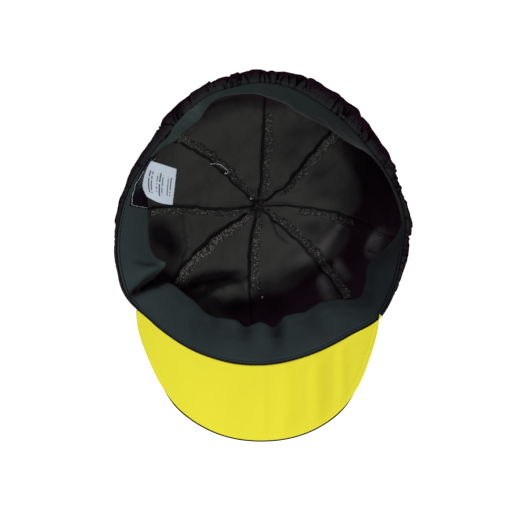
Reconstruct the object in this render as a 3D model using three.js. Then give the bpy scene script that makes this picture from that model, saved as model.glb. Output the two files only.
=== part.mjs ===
// An eight-panel cycling cap, lying on its crown with the opening up and the peak towards -Y.
// Millimetres, +Z up. The origin is on the surface that the crown rests on, under the middle of the cap.
import * as THREE from "three";
import { mergeVertices } from "three/addons/utils/BufferGeometryUtils.js";

// Cloth thicknesses and the clearance that sewn neighbours keep
const PANEL_CLOTH = 1.2;
const BAND_CLOTH = 1.2;
const PEAK_CLOTH = 1.3;
const LABEL_CLOTH = 1.0;
const CLEARANCE = 0.35;

// The middle of the opening, and the point where the panels meet, which lies behind it
const OPENING = { x: -0.6, y: 18.7 };
const MEETING_POINT = { x: -2.3, y: 13.3 };
const MEETING_HOLE = 4;
// The crown is pressed flat where it rests, out to this distance from the meeting point.
const FLAT_RADIUS = 50;
// How far the curves between the flat, the widest place and the rim keep their first direction
const SHOULDER = 0.6;
const UPPER_WALL = 0.42;

// One row for each section around the opening, by distance from its middle and height. Angles are in
// degrees, with the back of the cap at 90. rimR and rimZ are the rim, lean the wall's slope outwards
// there, bulgeR and bulgeZ the widest place, and pucker the depth of the gathers.
const SECTIONS = [
  { angle: 0, rimR: 92.2, rimZ: 97.0, lean: -14, bulgeR: 99.8, bulgeZ: 54, pucker: 1.3 },
  { angle: 20, rimR: 87.2, rimZ: 98.5, lean: -18, bulgeR: 97.0, bulgeZ: 54, pucker: 1.7 },
  { angle: 45, rimR: 83.8, rimZ: 99.5, lean: -22, bulgeR: 98.6, bulgeZ: 55, pucker: 2.0 },
  { angle: 58, rimR: 84.6, rimZ: 99.8, lean: -24, bulgeR: 99.6, bulgeZ: 56, pucker: 2.1 },
  { angle: 75, rimR: 86.6, rimZ: 100.0, lean: -24, bulgeR: 103.4, bulgeZ: 56, pucker: 2.1 },
  { angle: 90, rimR: 87.8, rimZ: 100.0, lean: -24, bulgeR: 103.6, bulgeZ: 56, pucker: 2.1 },
  { angle: 115, rimR: 84.4, rimZ: 100.0, lean: -22, bulgeR: 100.4, bulgeZ: 55, pucker: 2.0 },
  { angle: 135, rimR: 81.8, rimZ: 99.5, lean: -20, bulgeR: 95.8, bulgeZ: 54, pucker: 1.5 },
  { angle: 157, rimR: 86.2, rimZ: 98.5, lean: -12, bulgeR: 95.4, bulgeZ: 52, pucker: 0.8 },
  { angle: 180, rimR: 92.2, rimZ: 97.5, lean: -8, bulgeR: 98.8, bulgeZ: 50, pucker: 0.2 },
  { angle: 197, rimR: 97.3, rimZ: 96.0, lean: 2, bulgeR: 96.8, bulgeZ: 48, pucker: 0 },
  { angle: 209, rimR: 99.6, rimZ: 93.5, lean: 18, bulgeR: 93.0, bulgeZ: 45, pucker: 0 },
  { angle: 222, rimR: 97.6, rimZ: 89.0, lean: 34, bulgeR: 86.5, bulgeZ: 41, pucker: 0 },
  { angle: 245, rimR: 95.6, rimZ: 81.6, lean: 44, bulgeR: 79.0, bulgeZ: 37, pucker: 0 },
  { angle: 270, rimR: 94.3, rimZ: 78.0, lean: 46, bulgeR: 76.5, bulgeZ: 35, pucker: 0 },
  { angle: 290, rimR: 92.9, rimZ: 80.2, lean: 44, bulgeR: 77.5, bulgeZ: 36, pucker: 0 },
  { angle: 308, rimR: 93.9, rimZ: 85.6, lean: 34, bulgeR: 84.0, bulgeZ: 40, pucker: 0 },
  { angle: 321, rimR: 97.0, rimZ: 91.2, lean: 12, bulgeR: 93.6, bulgeZ: 46, pucker: 0.2 },
  { angle: 338, rimR: 94.0, rimZ: 94.8, lean: -18, bulgeR: 100.0, bulgeZ: 60, pucker: 0.8 },
];

// The head band's loose edge around the opening
const BAND_EDGE = [
  { angle: 0, looseR: 94.0, looseZ: 66 },
  { angle: 20, looseR: 89.0, looseZ: 67 },
  { angle: 45, looseR: 78.5, looseZ: 68 },
  { angle: 58, looseR: 76.8, looseZ: 69 },
  { angle: 75, looseR: 77.4, looseZ: 69 },
  { angle: 90, looseR: 82.6, looseZ: 69 },
  { angle: 115, looseR: 80.6, looseZ: 69 },
  { angle: 135, looseR: 77.6, looseZ: 68 },
  { angle: 157, looseR: 80.6, looseZ: 68 },
  { angle: 180, looseR: 76.0, looseZ: 68 },
  { angle: 197, looseR: 75.6, looseZ: 66 },
  { angle: 209, looseR: 77.6, looseZ: 63 },
  { angle: 222, looseR: 70.8, looseZ: 61 },
  { angle: 245, looseR: 69.8, looseZ: 57 },
  { angle: 270, looseR: 69.0, looseZ: 56 },
  { angle: 290, looseR: 64.8, looseZ: 57 },
  { angle: 308, looseR: 67.6, looseZ: 59 },
  { angle: 321, looseR: 79.6, looseZ: 62 },
  { angle: 338, looseR: 77.6, looseZ: 64 },
];

// The gathers that the elastic makes around the back, and how high on the wall they are deepest
const GATHERS_PER_TURN = 27;
const GATHER_PEAK = 0.72;
const GATHER_AT_RIM = 0.45;

// One row for each seam: its angle beside the meeting point, low on the wall and at the rim, and the
// side that its allowance is pressed to, 1 anticlockwise or -1 clockwise.
const SEAMS = [
  { inner: 2, low: -6, rim: -8, side: -1 },
  { inner: 34, low: 49, rim: 45, side: -1 },
  { inner: 83, low: 87, rim: 89, side: -1 },
  { inner: 133, low: 138, rim: 137, side: -1 },
  { inner: 186, low: 177, rim: 182, side: 1 },
  { inner: 211, low: 217, rim: 222, side: 1 },
  { inner: 257, low: 265, rim: 267, side: 1 },
  { inner: 321, low: 320, rim: 316, side: 1 },
];
// How far up the section the middle angle stands
const SEAM_LOW = 1.6;
// Each panel's columns of faces: the gathered panels at the back take more.
const PANEL_COLUMNS = [14, 14, 14, 14, 8, 8, 8, 8];
// Rows of faces on a panel: across the flat, up to the widest place and on to the rim
const FLAT_ROWS = 2;
const SHOULDER_ROWS = 6;
const WALL_ROWS = 6;

// The turned edge that overlaps the head band at the rim
const HEM = 3;
const BAND_ROWS = 4;
// How far the band bellies in between its two edges
const BAND_BELLY = 1.5;

// The peak, curved across its width and rising towards its tip, seen from the middle of the opening
const PEAK = { rootY: -94.3, rootZ: 78, middleX: -1.5, halfWidth: 78, archDepth: 22.8, riseAngle: 15 };
const PEAK_ROOT_ANGLES = [217.5, 321];
// Its edge, as the distance from a point between the corners, one row for each turn of the curve
const PEAK_MIDDLE = { x: -1, y: -57 };
const PEAK_EDGE = [
  { angle: 182, reach: 80.2 },
  { angle: 203, reach: 78.2 },
  { angle: 218, reach: 79.7 },
  { angle: 232, reach: 81.8 },
  { angle: 270, reach: 83.2 },
  { angle: 308, reach: 82.3 },
  { angle: 322, reach: 79.2 },
  { angle: 337, reach: 75.6 },
  { angle: 356, reach: 76.8 },
];
const PEAK_COLUMNS = 22;
const PEAK_ROWS = 6;
const PEAK_EDGE_TURN = 0.8;

// The overlocked seam allowances on the inside, from beside the knot to behind the head band
const ALLOWANCE_WIDTH = 6;
const ALLOWANCE_TIP_WIDTH = 3;
const ALLOWANCE_HEIGHT = 1.5;
const ALLOWANCE_EDGE = 0.35;
const ALLOWANCE_CLEARANCE = 0.55;
const ALLOWANCE_START = 0.13;
const ALLOWANCE_END = 2.25;
// The knot where they meet
const KNOT_RADIUS = 8.5;
const KNOT_HEIGHT = 3.6;
const KNOT_LOBE = 0.07;
const KNOT_SIDES = 16;
// Its section, as shares of that radius and height
const KNOT_SECTION = [
  { reach: 0, height: 0 },
  { reach: 0.9, height: 0 },
  { reach: 1, height: 0.3 },
  { reach: 0.75, height: 0.75 },
  { reach: 0.35, height: 1 },
  { reach: 0, height: 0.9 },
];

// The dark side tag on the head band, from top to bottom of the band as fractions of its width
const TAG = { fromAngle: 150, toAngle: 173, topFrom: 0.1, topTo: 0.2, bottom: 0.97, columns: 6, rows: 4 };
// The care label: where it is sewn to the tag, and how it hangs over the crown
const LABEL = {
  fromAngle: 152,
  toAngle: 167,
  rootFrom: 0.2,
  rootTo: 0.8,
  length: 21.5,
  hangsTowards: -17,
  drop: 0.7,
  bow: 1.5,
  columns: 6,
  rows: 5,
};

const degrees = THREE.MathUtils.degToRad;
const mix = THREE.MathUtils.lerp;
const smooth = (s) => THREE.MathUtils.smoothstep(s, 0, 1);

// A column of a table at any angle, smoothly round the whole turn
function between(table, column, angle) {
  const count = table.length;
  const turn = THREE.MathUtils.euclideanModulo(angle - table[0].angle, 360) + table[0].angle;
  const i = table.findLastIndex((line) => line.angle <= turn);
  const row = (k) => {
    const line = table[THREE.MathUtils.euclideanModulo(k, count)];
    return { angle: line.angle + 360 * Math.floor(k / count), value: line[column] };
  };
  const [before, start, end, after] = [row(i - 1), row(i), row(i + 1), row(i + 2)];
  const slope = (a, b) => (b.value - a.value) / (b.angle - a.angle);
  const step = end.angle - start.angle;
  const s = (turn - start.angle) / step;
  const startSlope = slope(before, end) * step;
  const endSlope = slope(start, after) * step;
  return (
    (2 * s ** 3 - 3 * s ** 2 + 1) * start.value +
    (s ** 3 - 2 * s ** 2 + s) * startSlope +
    (3 * s ** 2 - 2 * s ** 3) * end.value +
    (s ** 3 - s ** 2) * endSlope
  );
}

const around = (column, angle) => between(SECTIONS, column, angle);

// The crown's outer line in one section, as distance from the middle and height.
// t runs 0 to 1 across the flat, 1 to 2 up to the widest place, and 2 to 3 up to the rim.
function sectionPoint(angle, t) {
  if (t <= 1) return new THREE.Vector2(mix(MEETING_HOLE, FLAT_RADIUS, t), 0);
  const widest = new THREE.Vector2(around("bulgeR", angle), around("bulgeZ", angle));
  if (t <= 2) {
    const flatEdge = new THREE.Vector2(FLAT_RADIUS, 0);
    const along = new THREE.Vector2(mix(flatEdge.x, widest.x, SHOULDER), 0);
    const below = new THREE.Vector2(widest.x, widest.y * (1 - SHOULDER));
    return new THREE.CubicBezierCurve(flatEdge, along, below, widest).getPoint(t - 1);
  }
  const rim = new THREE.Vector2(around("rimR", angle), around("rimZ", angle));
  const reach = (rim.y - widest.y) * UPPER_WALL;
  const lean = degrees(around("lean", angle));
  const above = new THREE.Vector2(widest.x, widest.y + reach);
  const under = new THREE.Vector2(rim.x - reach * Math.sin(lean), rim.y - reach * Math.cos(lean));
  return new THREE.CubicBezierCurve(widest, above, under, rim).getPoint(t - 2);
}

// The gathers push the upper wall in and out.
function gather(angle, t) {
  const s = t - 2;
  if (s <= 0) return 0;
  const past = smooth((s - GATHER_PEAK) / (1 - GATHER_PEAK));
  const depth = smooth(s / GATHER_PEAK) * mix(1, GATHER_AT_RIM, past);
  return around("pucker", angle) * depth * Math.cos(degrees(GATHERS_PER_TURN * angle));
}

// A point on the crown's outer surface
function crownPoint(angle, t) {
  const section = sectionPoint(angle, t);
  const radius = section.x + gather(angle, t);
  const away = 1 - smooth(t - 1);
  return new THREE.Vector3(
    OPENING.x + MEETING_POINT.x * away + radius * Math.cos(degrees(angle)),
    OPENING.y + MEETING_POINT.y * away + radius * Math.sin(degrees(angle)),
    section.y,
  );
}

// The crown's inward normal there
function crownInward(angle, t) {
  const da = 0.05;
  const dt = 0.002;
  const low = Math.max(t - dt, 0);
  const high = Math.min(t + dt, 3);
  const acrossStep = crownPoint(angle + da, t).sub(crownPoint(angle - da, t));
  const alongStep = crownPoint(angle, high).sub(crownPoint(angle, low));
  return alongStep.cross(acrossStep).normalize();
}

// A point at a depth below the crown's outer surface
function insideCrown(angle, t, depth) {
  return crownPoint(angle, t).addScaledVector(crownInward(angle, t), depth);
}

// The angle that lies a distance anticlockwise of another, along the crown
function aside(angle, t, distance) {
  return angle + THREE.MathUtils.radToDeg(distance / sectionPoint(angle, t).x);
}

function seamAngle(index, t) {
  const turns = Math.floor(index / SEAMS.length);
  const seam = SEAMS[index % SEAMS.length];
  const low = mix(seam.inner, seam.low, smooth(t / SEAM_LOW));
  return low + (seam.rim - seam.low) * smooth((t - SEAM_LOW) / (3 - SEAM_LOW)) + 360 * turns;
}

// A block of unit size whose vertices are carried to place(u, v, w), each from 0 to 1
function formed(columns, rows, layers, place) {
  const block = new THREE.BoxGeometry(1, 1, 1, columns, rows, layers);
  return carried(block, (x, y, z) => place(x + 0.5, y + 0.5, z + 0.5));
}

function carried(geometry, place) {
  const position = geometry.getAttribute("position");
  for (let i = 0; i < position.count; i++) {
    const point = place(position.getX(i), position.getY(i), position.getZ(i));
    position.setXYZ(i, point.x, point.y, point.z);
  }
  geometry.deleteAttribute("normal");
  geometry.deleteAttribute("uv");
  const merged = mergeVertices(geometry, 1e-4);
  merged.computeVertexNormals();
  return merged;
}

function material(colour, roughness) {
  return new THREE.MeshStandardMaterial({ color: colour, roughness, metalness: 0 });
}

const crownCloth = material(0x1c1a1b, 0.85);
const bandCloth = material(0x26302f, 0.8);
const underPeakCloth = material(0xe6e128, 0.7);
const threadCloth = material(0x2b2925, 0.95);
const labelCloth = material(0xdfe4ee, 0.6);
const tagCloth = material(0x07080c, 0.5);

const cap = new THREE.Group();

function add(name, geometry, cloth) {
  const mesh = new THREE.Mesh(geometry, cloth);
  mesh.name = name;
  cap.add(mesh);
}

const rowsUp = [];
for (let i = 0; i <= FLAT_ROWS; i++) rowsUp.push(i / FLAT_ROWS);
for (let i = 1; i <= SHOULDER_ROWS; i++) rowsUp.push(1 + i / SHOULDER_ROWS);
for (let i = 1; i <= WALL_ROWS; i++) rowsUp.push(2 + i / WALL_ROWS);

// A panel between two seams, held back from each by half the clearance
function crownPanel(index) {
  const columns = PANEL_COLUMNS[index];
  const rows = rowsUp.length - 1;
  return formed(columns, rows, 1, (u, v, w) => {
    const t = rowsUp[Math.round(v * rows)];
    const from = aside(seamAngle(index, t), t, CLEARANCE / 2);
    const to = aside(seamAngle(index + 1, t), t, -CLEARANCE / 2);
    return insideCrown(mix(from, to, 1 - u), t, w * PANEL_CLOTH);
  });
}

// The angles of the panels' columns at the rim, so that the band's faces follow theirs
const bandAngles = PANEL_COLUMNS.flatMap((columns, index) => {
  const from = seamAngle(index, 3);
  const to = seamAngle(index + 1, 3);
  return Array.from({ length: columns }, (_, k) => mix(from, to, k / columns));
});

// The head band hangs from the hem and stands loose at its inner edge.
function bandPoint(angle, s, depth) {
  const hemT = 3 - HEM / (around("rimZ", angle) - around("bulgeZ", angle));
  const top = insideCrown(angle, hemT, PANEL_CLOTH + CLEARANCE);
  const outward = new THREE.Vector3(Math.cos(degrees(angle)), Math.sin(degrees(angle)), 0);
  const loose = outward.clone().multiplyScalar(between(BAND_EDGE, "looseR", angle) + BAND_CLOTH);
  loose.add(new THREE.Vector3(OPENING.x, OPENING.y, between(BAND_EDGE, "looseZ", angle)));
  const inward = new THREE.Vector3(-outward.y, outward.x, 0).cross(loose.clone().sub(top)).normalize();
  const belly = BAND_BELLY * Math.sin(Math.PI * s);
  return top.lerp(loose, s).addScaledVector(inward, depth + belly);
}

function headBand() {
  const profile = [];
  for (let i = 0; i <= BAND_ROWS; i++) profile.push(new THREE.Vector2(1, i / BAND_ROWS));
  for (let i = BAND_ROWS; i >= 0; i--) profile.push(new THREE.Vector2(2, i / BAND_ROWS));
  profile.push(profile[0].clone());
  const columns = bandAngles.length;
  const ring = new THREE.LatheGeometry(profile, columns);
  return carried(ring, (x, y, z) => {
    const layer = 2 - Math.hypot(x, z);
    const turn = THREE.MathUtils.euclideanModulo(Math.atan2(-x, z) / (2 * Math.PI), 1);
    const angle = bandAngles[Math.round(turn * columns) % columns];
    return bandPoint(angle, 1 - y, layer * BAND_CLOTH);
  });
}

function peakHeight(x, y) {
  const arch = PEAK.archDepth * ((x - PEAK.middleX) / PEAK.halfWidth) ** 2;
  return PEAK.rootZ + arch + (PEAK.rootY - y) * Math.tan(degrees(PEAK.riseAngle));
}

// A point in plan at an angle and distance
const polar = (angle, distance) =>
  new THREE.Vector2(Math.cos(degrees(angle)), Math.sin(degrees(angle))).multiplyScalar(distance);

// One layer of the peak, from the rim to an edge that stands out by turn
function peakLayer(below, turn) {
  return formed(PEAK_COLUMNS, PEAK_ROWS, 1, (u, v, w) => {
    const rootAngle = mix(PEAK_ROOT_ANGLES[0], PEAK_ROOT_ANGLES[1], u);
    const edgeAngle = mix(PEAK_EDGE[0].angle, PEAK_EDGE.at(-1).angle, u);
    const root = polar(rootAngle, around("rimR", rootAngle) + CLEARANCE);
    const edge = polar(edgeAngle, between(PEAK_EDGE, "reach", edgeAngle) + turn).add(PEAK_MIDDLE);
    const plan = root.lerp(edge, 1 - v);
    const height = peakHeight(plan.x, plan.y) - below - (1 - w) * PEAK_CLOTH;
    return new THREE.Vector3(OPENING.x + plan.x, OPENING.y + plan.y, height);
  });
}

// A seam allowance, pressed to one side of its seam on the inside of the crown
const allowanceRows = rowsUp.filter((t) => t > ALLOWANCE_START && t < ALLOWANCE_END);
allowanceRows.unshift(ALLOWANCE_START);

function seamAllowance(index) {
  const rows = allowanceRows.length - 1;
  const section = [ALLOWANCE_EDGE, 1, 1, ALLOWANCE_EDGE];
  const columns = section.length - 1;
  return formed(columns, rows, 1, (u, v, w) => {
    const row = Math.round(v * rows);
    const t = allowanceRows[row];
    const width = row === 0 ? ALLOWANCE_TIP_WIDTH : ALLOWANCE_WIDTH;
    const depth = PANEL_CLOTH + ALLOWANCE_CLEARANCE + w * ALLOWANCE_HEIGHT * section[Math.round(u * columns)];
    const sideways = (0.5 - u + SEAMS[index].side / 2) * width;
    return insideCrown(aside(seamAngle(index, t), t, sideways), t, depth);
  });
}

// The knot of thread and seam ends over the meeting point
function seamKnot() {
  const profile = KNOT_SECTION.map(({ reach, height }) => new THREE.Vector2(reach, height));
  const floor = PANEL_CLOTH + CLEARANCE;
  return carried(new THREE.LatheGeometry(profile, KNOT_SIDES), (x, y, z) => {
    const lobe = 1 - KNOT_LOBE * Math.cos(SEAMS.length * Math.atan2(z, x)) * Math.hypot(x, z);
    return new THREE.Vector3(
      OPENING.x + MEETING_POINT.x + x * KNOT_RADIUS * lobe,
      OPENING.y + MEETING_POINT.y - z * KNOT_RADIUS * lobe,
      floor + y * KNOT_HEIGHT,
    );
  });
}

// The dark side tag lies on the head band.
function sideTag() {
  return formed(TAG.columns, TAG.rows, 1, (u, v, w) => {
    const angle = mix(TAG.fromAngle, TAG.toAngle, u);
    const across = mix(mix(TAG.topFrom, TAG.topTo, u), TAG.bottom, v);
    return bandPoint(angle, across, BAND_CLOTH + CLEARANCE + w * LABEL_CLOTH);
  });
}

// The care label hangs from the lower part of the tag, out over the crown.
function careLabel() {
  const rootDepth = BAND_CLOTH + LABEL_CLOTH + 2 * CLEARANCE;
  return formed(LABEL.columns, LABEL.rows, 1, (u, v, w) => {
    const angle = mix(LABEL.fromAngle, LABEL.toAngle, u);
    const root = bandPoint(angle, mix(LABEL.rootFrom, LABEL.rootTo, u), rootDepth);
    const reach = degrees(LABEL.hangsTowards);
    const hang = new THREE.Vector3(Math.cos(reach), Math.sin(reach), -LABEL.drop).normalize();
    const along = root.addScaledVector(hang, v * LABEL.length);
    along.z += LABEL.bow * Math.sin(Math.PI * v) + w * LABEL_CLOTH;
    return along;
  });
}

SEAMS.forEach((_, index) => add(`crown_panel_${index + 1}`, crownPanel(index), crownCloth));
SEAMS.forEach((_, index) => add(`seam_allowance_${index + 1}`, seamAllowance(index), threadCloth));
add("seam_knot", seamKnot(), threadCloth);
add("head_band", headBand(), bandCloth);
add("side_tag", sideTag(), tagCloth);
add("care_label", careLabel(), labelCloth);
add("peak_under", peakLayer(0, 0), underPeakCloth);
add("peak_top", peakLayer(PEAK_CLOTH + CLEARANCE, PEAK_EDGE_TURN), crownCloth);

export default cap;
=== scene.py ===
"""The cloth, threads and labels of a cycling cap that lies on its crown with the opening up.

Tables are in millimetres and degrees, with the back of the cap at 90 degrees and the peak at 270.
Settings, materials and meshes are in metres.
"""

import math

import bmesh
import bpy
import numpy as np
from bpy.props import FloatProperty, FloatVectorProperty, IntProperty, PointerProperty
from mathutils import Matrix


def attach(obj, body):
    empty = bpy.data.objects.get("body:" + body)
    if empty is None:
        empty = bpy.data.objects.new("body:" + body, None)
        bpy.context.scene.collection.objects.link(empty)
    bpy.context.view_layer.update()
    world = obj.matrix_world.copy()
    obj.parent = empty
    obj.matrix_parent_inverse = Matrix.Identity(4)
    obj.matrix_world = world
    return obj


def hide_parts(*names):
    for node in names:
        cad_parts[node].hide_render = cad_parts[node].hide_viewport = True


bl_info = {
    "name": "Cycling cap",
    "version": (1, 0, 0),
    "blender": (4, 5, 0),
    "location": "3D View > Sidebar > Cap",
    "description": "Sews a soft eight-panel cycling cap around its packed frame",
    "category": "Object",
}

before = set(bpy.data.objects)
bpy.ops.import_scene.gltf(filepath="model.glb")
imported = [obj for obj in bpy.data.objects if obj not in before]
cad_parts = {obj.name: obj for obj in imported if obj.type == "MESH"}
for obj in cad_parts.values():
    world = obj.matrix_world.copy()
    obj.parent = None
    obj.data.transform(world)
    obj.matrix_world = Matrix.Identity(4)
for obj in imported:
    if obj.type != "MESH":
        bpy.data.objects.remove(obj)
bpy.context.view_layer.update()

MM = 0.001


def table(columns, *rows):
    """Rows of numbers under named columns."""
    return np.array(list(rows), dtype=[(name, float) for name in columns.split()])


# The middle of the opening, and the point where the panels meet, measured from it
OPENING = np.array([-0.6, 18.7])
MEETING_POINT = np.array([-2.3, 13.3])
MEETING_HOLE = 0.4
# The flat that the crown lies on, and how full its shoulder and its upper wall are, as shares
FLAT_RADIUS = 50
SHOULDER = 0.6
UPPER_WALL = 0.42
# How far the cloth runs across the flat, up the shoulder and up the wall
FLAT_RUN, SHOULDER_RUN, WALL_RUN = 49.6, 75.0, 45.0

# The rim by distance from the opening's middle and height, the wall's slope there, the widest place,
# and the depth of the gathers
SECTIONS = table(
    "angle rim_r rim_z lean bulge_r bulge_z pucker",
    (0, 92.8, 97, -24, 92, 60, 0.8),
    (20, 86.6, 98.5, -41, 93.9, 63, 1.7),
    (34, 83.2, 99, -46, 93.2, 64, 1.9),
    (47, 82.7, 99.5, -48, 96.4, 65, 2),
    (58, 83.4, 99.8, -48, 96.4, 66, 2.1),
    (66, 84.4, 100, -48, 96.2, 66, 2.1),
    (76, 87, 100, -48, 100.8, 66, 2.1),
    (90, 88.9, 100, -48, 98.3, 66, 2.1),
    (103, 88, 100, -48, 98.8, 66, 2.1),
    (113, 87.6, 100, -46, 94.6, 65, 2),
    (123, 85.2, 100, -46, 91, 65, 1.8),
    (135, 82.7, 99.5, -44, 88.8, 64, 1.4),
    (148, 83.2, 99, -38, 89.5, 62, 1.1),
    (159, 86, 98.5, -28, 90.3, 60, 0.8),
    (180, 92.2, 97.5, -14, 94.1, 54, 0.2),
    (197, 97.6, 96, 2, 97, 48, 0),
    (209, 100.2, 93.5, 18, 93.4, 45, 0),
    (222, 96.8, 89, 34, 86.5, 41, 0),
    (245, 95.4, 81.6, 44, 79, 37, 0),
    (270, 94.3, 78, 46, 76.5, 35, 0),
    (290, 92.9, 80.2, 44, 77.5, 36, 0),
    (308, 93.9, 85.6, 34, 84, 40, 0),
    (321, 98.4, 91.2, 12, 94.4, 46, 0.2),
    (336, 95.2, 94.8, -20, 97.2, 58, 0.8),
    (348, 93, 96, -22, 93.3, 59, 0.9),
)

# The head band's wavy loose edge
BAND_EDGE = table(
    "angle loose_r loose_z",
    (0, 94, 66), (15, 91, 66), (24, 88.6, 67), (30, 86.2, 67), (35, 82.9, 68), (42, 79.2, 68),
    (52, 77, 69), (62, 76.3, 69), (72, 77.2, 69), (79, 80, 69), (84, 81.4, 69), (91, 84.5, 69),
    (99, 85.6, 69), (106, 87.2, 69), (112, 86.4, 69), (118, 82, 69), (122, 79, 69),
    (134, 79.2, 68), (141, 83, 68), (147, 85.4, 68), (153, 86, 68), (159, 83.4, 68),
    (166, 79.4, 68), (178, 75.8, 68), (189, 76, 67), (196, 75.6, 66), (200, 74.5, 65),
    (204, 71.4, 64), (209, 77, 63), (213, 74, 62), (218, 71.2, 61), (231, 70.3, 59),
    (240, 71.6, 57), (248, 69.4, 56), (256, 67.9, 56), (262, 69.3, 56), (268, 67.8, 56),
    (276, 69.4, 56), (285, 64.4, 56), (296, 65.9, 57), (306, 66.8, 58), (315, 73, 60),
    (321, 80.4, 62), (330, 79.6, 63), (339, 76.6, 64), (350, 86, 65),
)

# Each seam's angle beside the meeting point, low on the wall and at the rim, with the side that its
# overlocked allowance is pressed to, the allowance's ends along the section and its width at the tip and
# beyond, the groove's half width, how far the seam wanders, and how pale its threads are
SEAMS = table(
    "inner low rim side start end tip_width width groove wander pale",
    (2, -6, -8, -1, 0.60, 1.30, 4.2, 5.8, 0.42, 0.3, 0.25),
    (34, 49, 45, -1, 0.44, 1.50, 4.2, 6.2, 0.8, 0.5, 0.25),
    (83, 87, 89, -1, 0.14, 1.26, 5, 6.2, 0.55, 0.25, 0.25),
    (133, 138, 137, -1, 0.12, 1.66, 4.2, 6, 0.5, 0.6, 0.25),
    (186, 177, 182, 1, 0.12, 1.44, 3.8, 5.3, 0.42, 0.3, 0.25),
    (211, 217, 222, 1, 0.14, 2.10, 3.8, 6.2, 0.8, 0.5, 0.5),
    (257, 265, 267, 1, 0.14, 1.22, 4.6, 6.8, 0.75, 0.3, 0.4),
    (322, 315.5, 314, 1, 0.14, 1.62, 3.8, 6.4, 0.6, 0.6, 0.3),
)
# Where on the section a seam has its low angle
SEAM_LOW = 1.6
# The cloth that each panel is cut with beyond its seams, and beyond the rim
SEAM_ALLOWANCE = 6.0
RIM_HEM = 8.0
# The direction of each panel's ribs in plan
RIB_ANGLES = (0, 0, 90, 0, 0, 90, 90, 90)

# How high on the wall the gathers are deepest, and how much of that depth is left at the rim, as shares
GATHER_PEAK = 0.72
GATHER_AT_RIM = 0.55
# The creases that the elastic draws into the back: how many, and between which angles round the rim
CREASES = 130
CREASE_SPAN = (-30, 176)
# Where the cloth inside falls into shadow, by angle and distance from the opening's middle, and how dark
WALL_SHADE = table(
    "angle edge share",
    (0, 63, 0.85), (17, 75, 0.85), (46, 79, 0.45), (74, 86, 0.55), (100, 87.5, 0.6),
    (128, 88, 0.5), (150, 92, 0), (180, 80, 0.1), (205, 72, 0.3), (240, 60, 0.7), (254, 56, 0.85),
    (271, 49, 0.85), (308, 49, 0.85), (330, 55, 0.85), (345, 62, 0.85),
)
# How dark the band is: most on its right side, away from the light, then at the back and along the front
BAND_SHADE = table(
    "angle share",
    (50, 0.5), (75, 0.35), (100, 0.25), (125, 0.15), (145, 0), (205, 0), (228, 0.18), (300, 0.2),
    (313, 0.27), (325, 0.5), (345, 0.65), (375, 0.65), (392, 0.5),
)

# Folds of the crown as it lies: a line in plan, its height inwards, its width, how much wider its left
# side is than its right, and how much painted shade lies along it, or painted light where that is negative
FOLDS = table(
    "from_x from_y to_x to_y height width side shade",
    (-57.3, 26.7, -53.7, 10.8, 4, 5, -0.4, 0),
    (-53.7, 10.8, -56.6, -8.1, 4, 5, -0.4, 0),
    (-77, 25, -71, 0, -3, 11, 0, 0.8),
    (-73, 16, -70, 6, 0, 6.5, 0, 0.25),
    (-65, 7, -62, -8, 0, 6.8, 0, 0.55),
    (-58.7, 26.7, -56.6, 13.7, -1.3, 0.9, 0, 0.5),
    (-56.6, 13.7, -55.1, 2.1, -1.3, 0.9, 0, 0.5),
    (-55.1, 2.1, -59.5, -9.5, -1.1, 0.9, 0, 0.4),
    (-54, -25, -45, -20.5, -3.5, 5, 0, 0.9),
    (-45, -20.5, -32, -18, -3, 5.6, 0, 0.95),
    (-32, -18, -14, -17, -2.6, 4.2, 0, 0.9),
    (-41.2, -39.5, -28.9, -31.5, 9, 8, -0.35, 0),
    (-28.9, -31.5, -13.7, -26, 8, 8, -0.35, 0),
    (-38, -42, -8, -42, -3, 5, 0, 0.6),
    (23.1, -10.2, 41.9, 0.6, 5, 6, 0, -0.25),
    (41.9, 0.6, 55.4, 14.5, 5.5, 5.5, 0, -0.45),
    (55.4, 14.5, 60.4, 24.2, 4.5, 4.5, 0, -0.35),
    (32, 14.6, 43.5, 18.8, -3.5, 6, 0, 0.55),
    (42.5, -11, 24, -26, -3, 6, 0, 0.45),
    (20, -38, 2, -41, -3, 7, 0, 0.4),
    (43.8, -13, 49.7, -8.8, -3, 3.2, 0, 0.9),
    (43.5, -20, 48.5, -33, 6.5, 4, 0, -0.55),
    (55.5, -9.5, 60, -17.5, 6, 3.8, 0, -0.6),
    (84, 11, 78.5, -1, 7.5, 4.4, 0, -0.8),
    (68.5, 4, 64, -10, -2, 6, 0, 0.4),
    (8.3, 38.7, 27, 42.5, 1.5, 2, 0, 0),
    (19, 44.2, 31.4, 54.4, 1.8, 2.4, 0, 0),
    (7.3, 44.3, 19, 48, -1.2, 2.4, 0, 0.3),
    (8, 33.5, 24, 32, 1.4, 2.4, 0, 0),
    (5.1, 26.1, 11, 11.6, -1.4, 1.3, 0, 0.5),
    (11, 11.6, 18.6, 5.6, -1.4, 1.3, 0, 0.4),
    (13.1, 12.9, 24.8, 5.6, 1.6, 3, 0, 0),
    (-46, 94, -30, 101.5, -2.2, 5.5, 0, 0.5),
    (-30, 101.5, -10, 108.5, -2.2, 5, 0, 0.5),
    (-8, 108.5, 14, 106.5, 0, 5, 0, 0.45),
    (12, 80, 30, 72, 0, 16, 0, 0.3),
    (36, 58, 54, 48, 0, 15, 0, 0.38),
    (36.4, 50.1, 49.5, 54.5, 1.8, 4, 0, 0),
    (40.8, 39.9, 53.9, 42.8, -1.6, 4, 0, 0.2),
    (20.3, 87.6, 46.4, 90.5, -2, 6, 0, 0.3),
    (-41.5, 40.7, -26.9, 47.3, 1.4, 5, 0, 0),
    (-48.7, 66.1, -34.2, 51.6, 1.8, 5, 0, 0),
    (-34.2, 16.7, -26.2, 0.6, 1.8, 5, 0, 0),
    (20.4, 73.5, 27.7, 60.4, 1.6, 5, 0, 0),
    (-22, 84, -14, 62, 1.4, 6, 0, 0),
)

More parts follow.
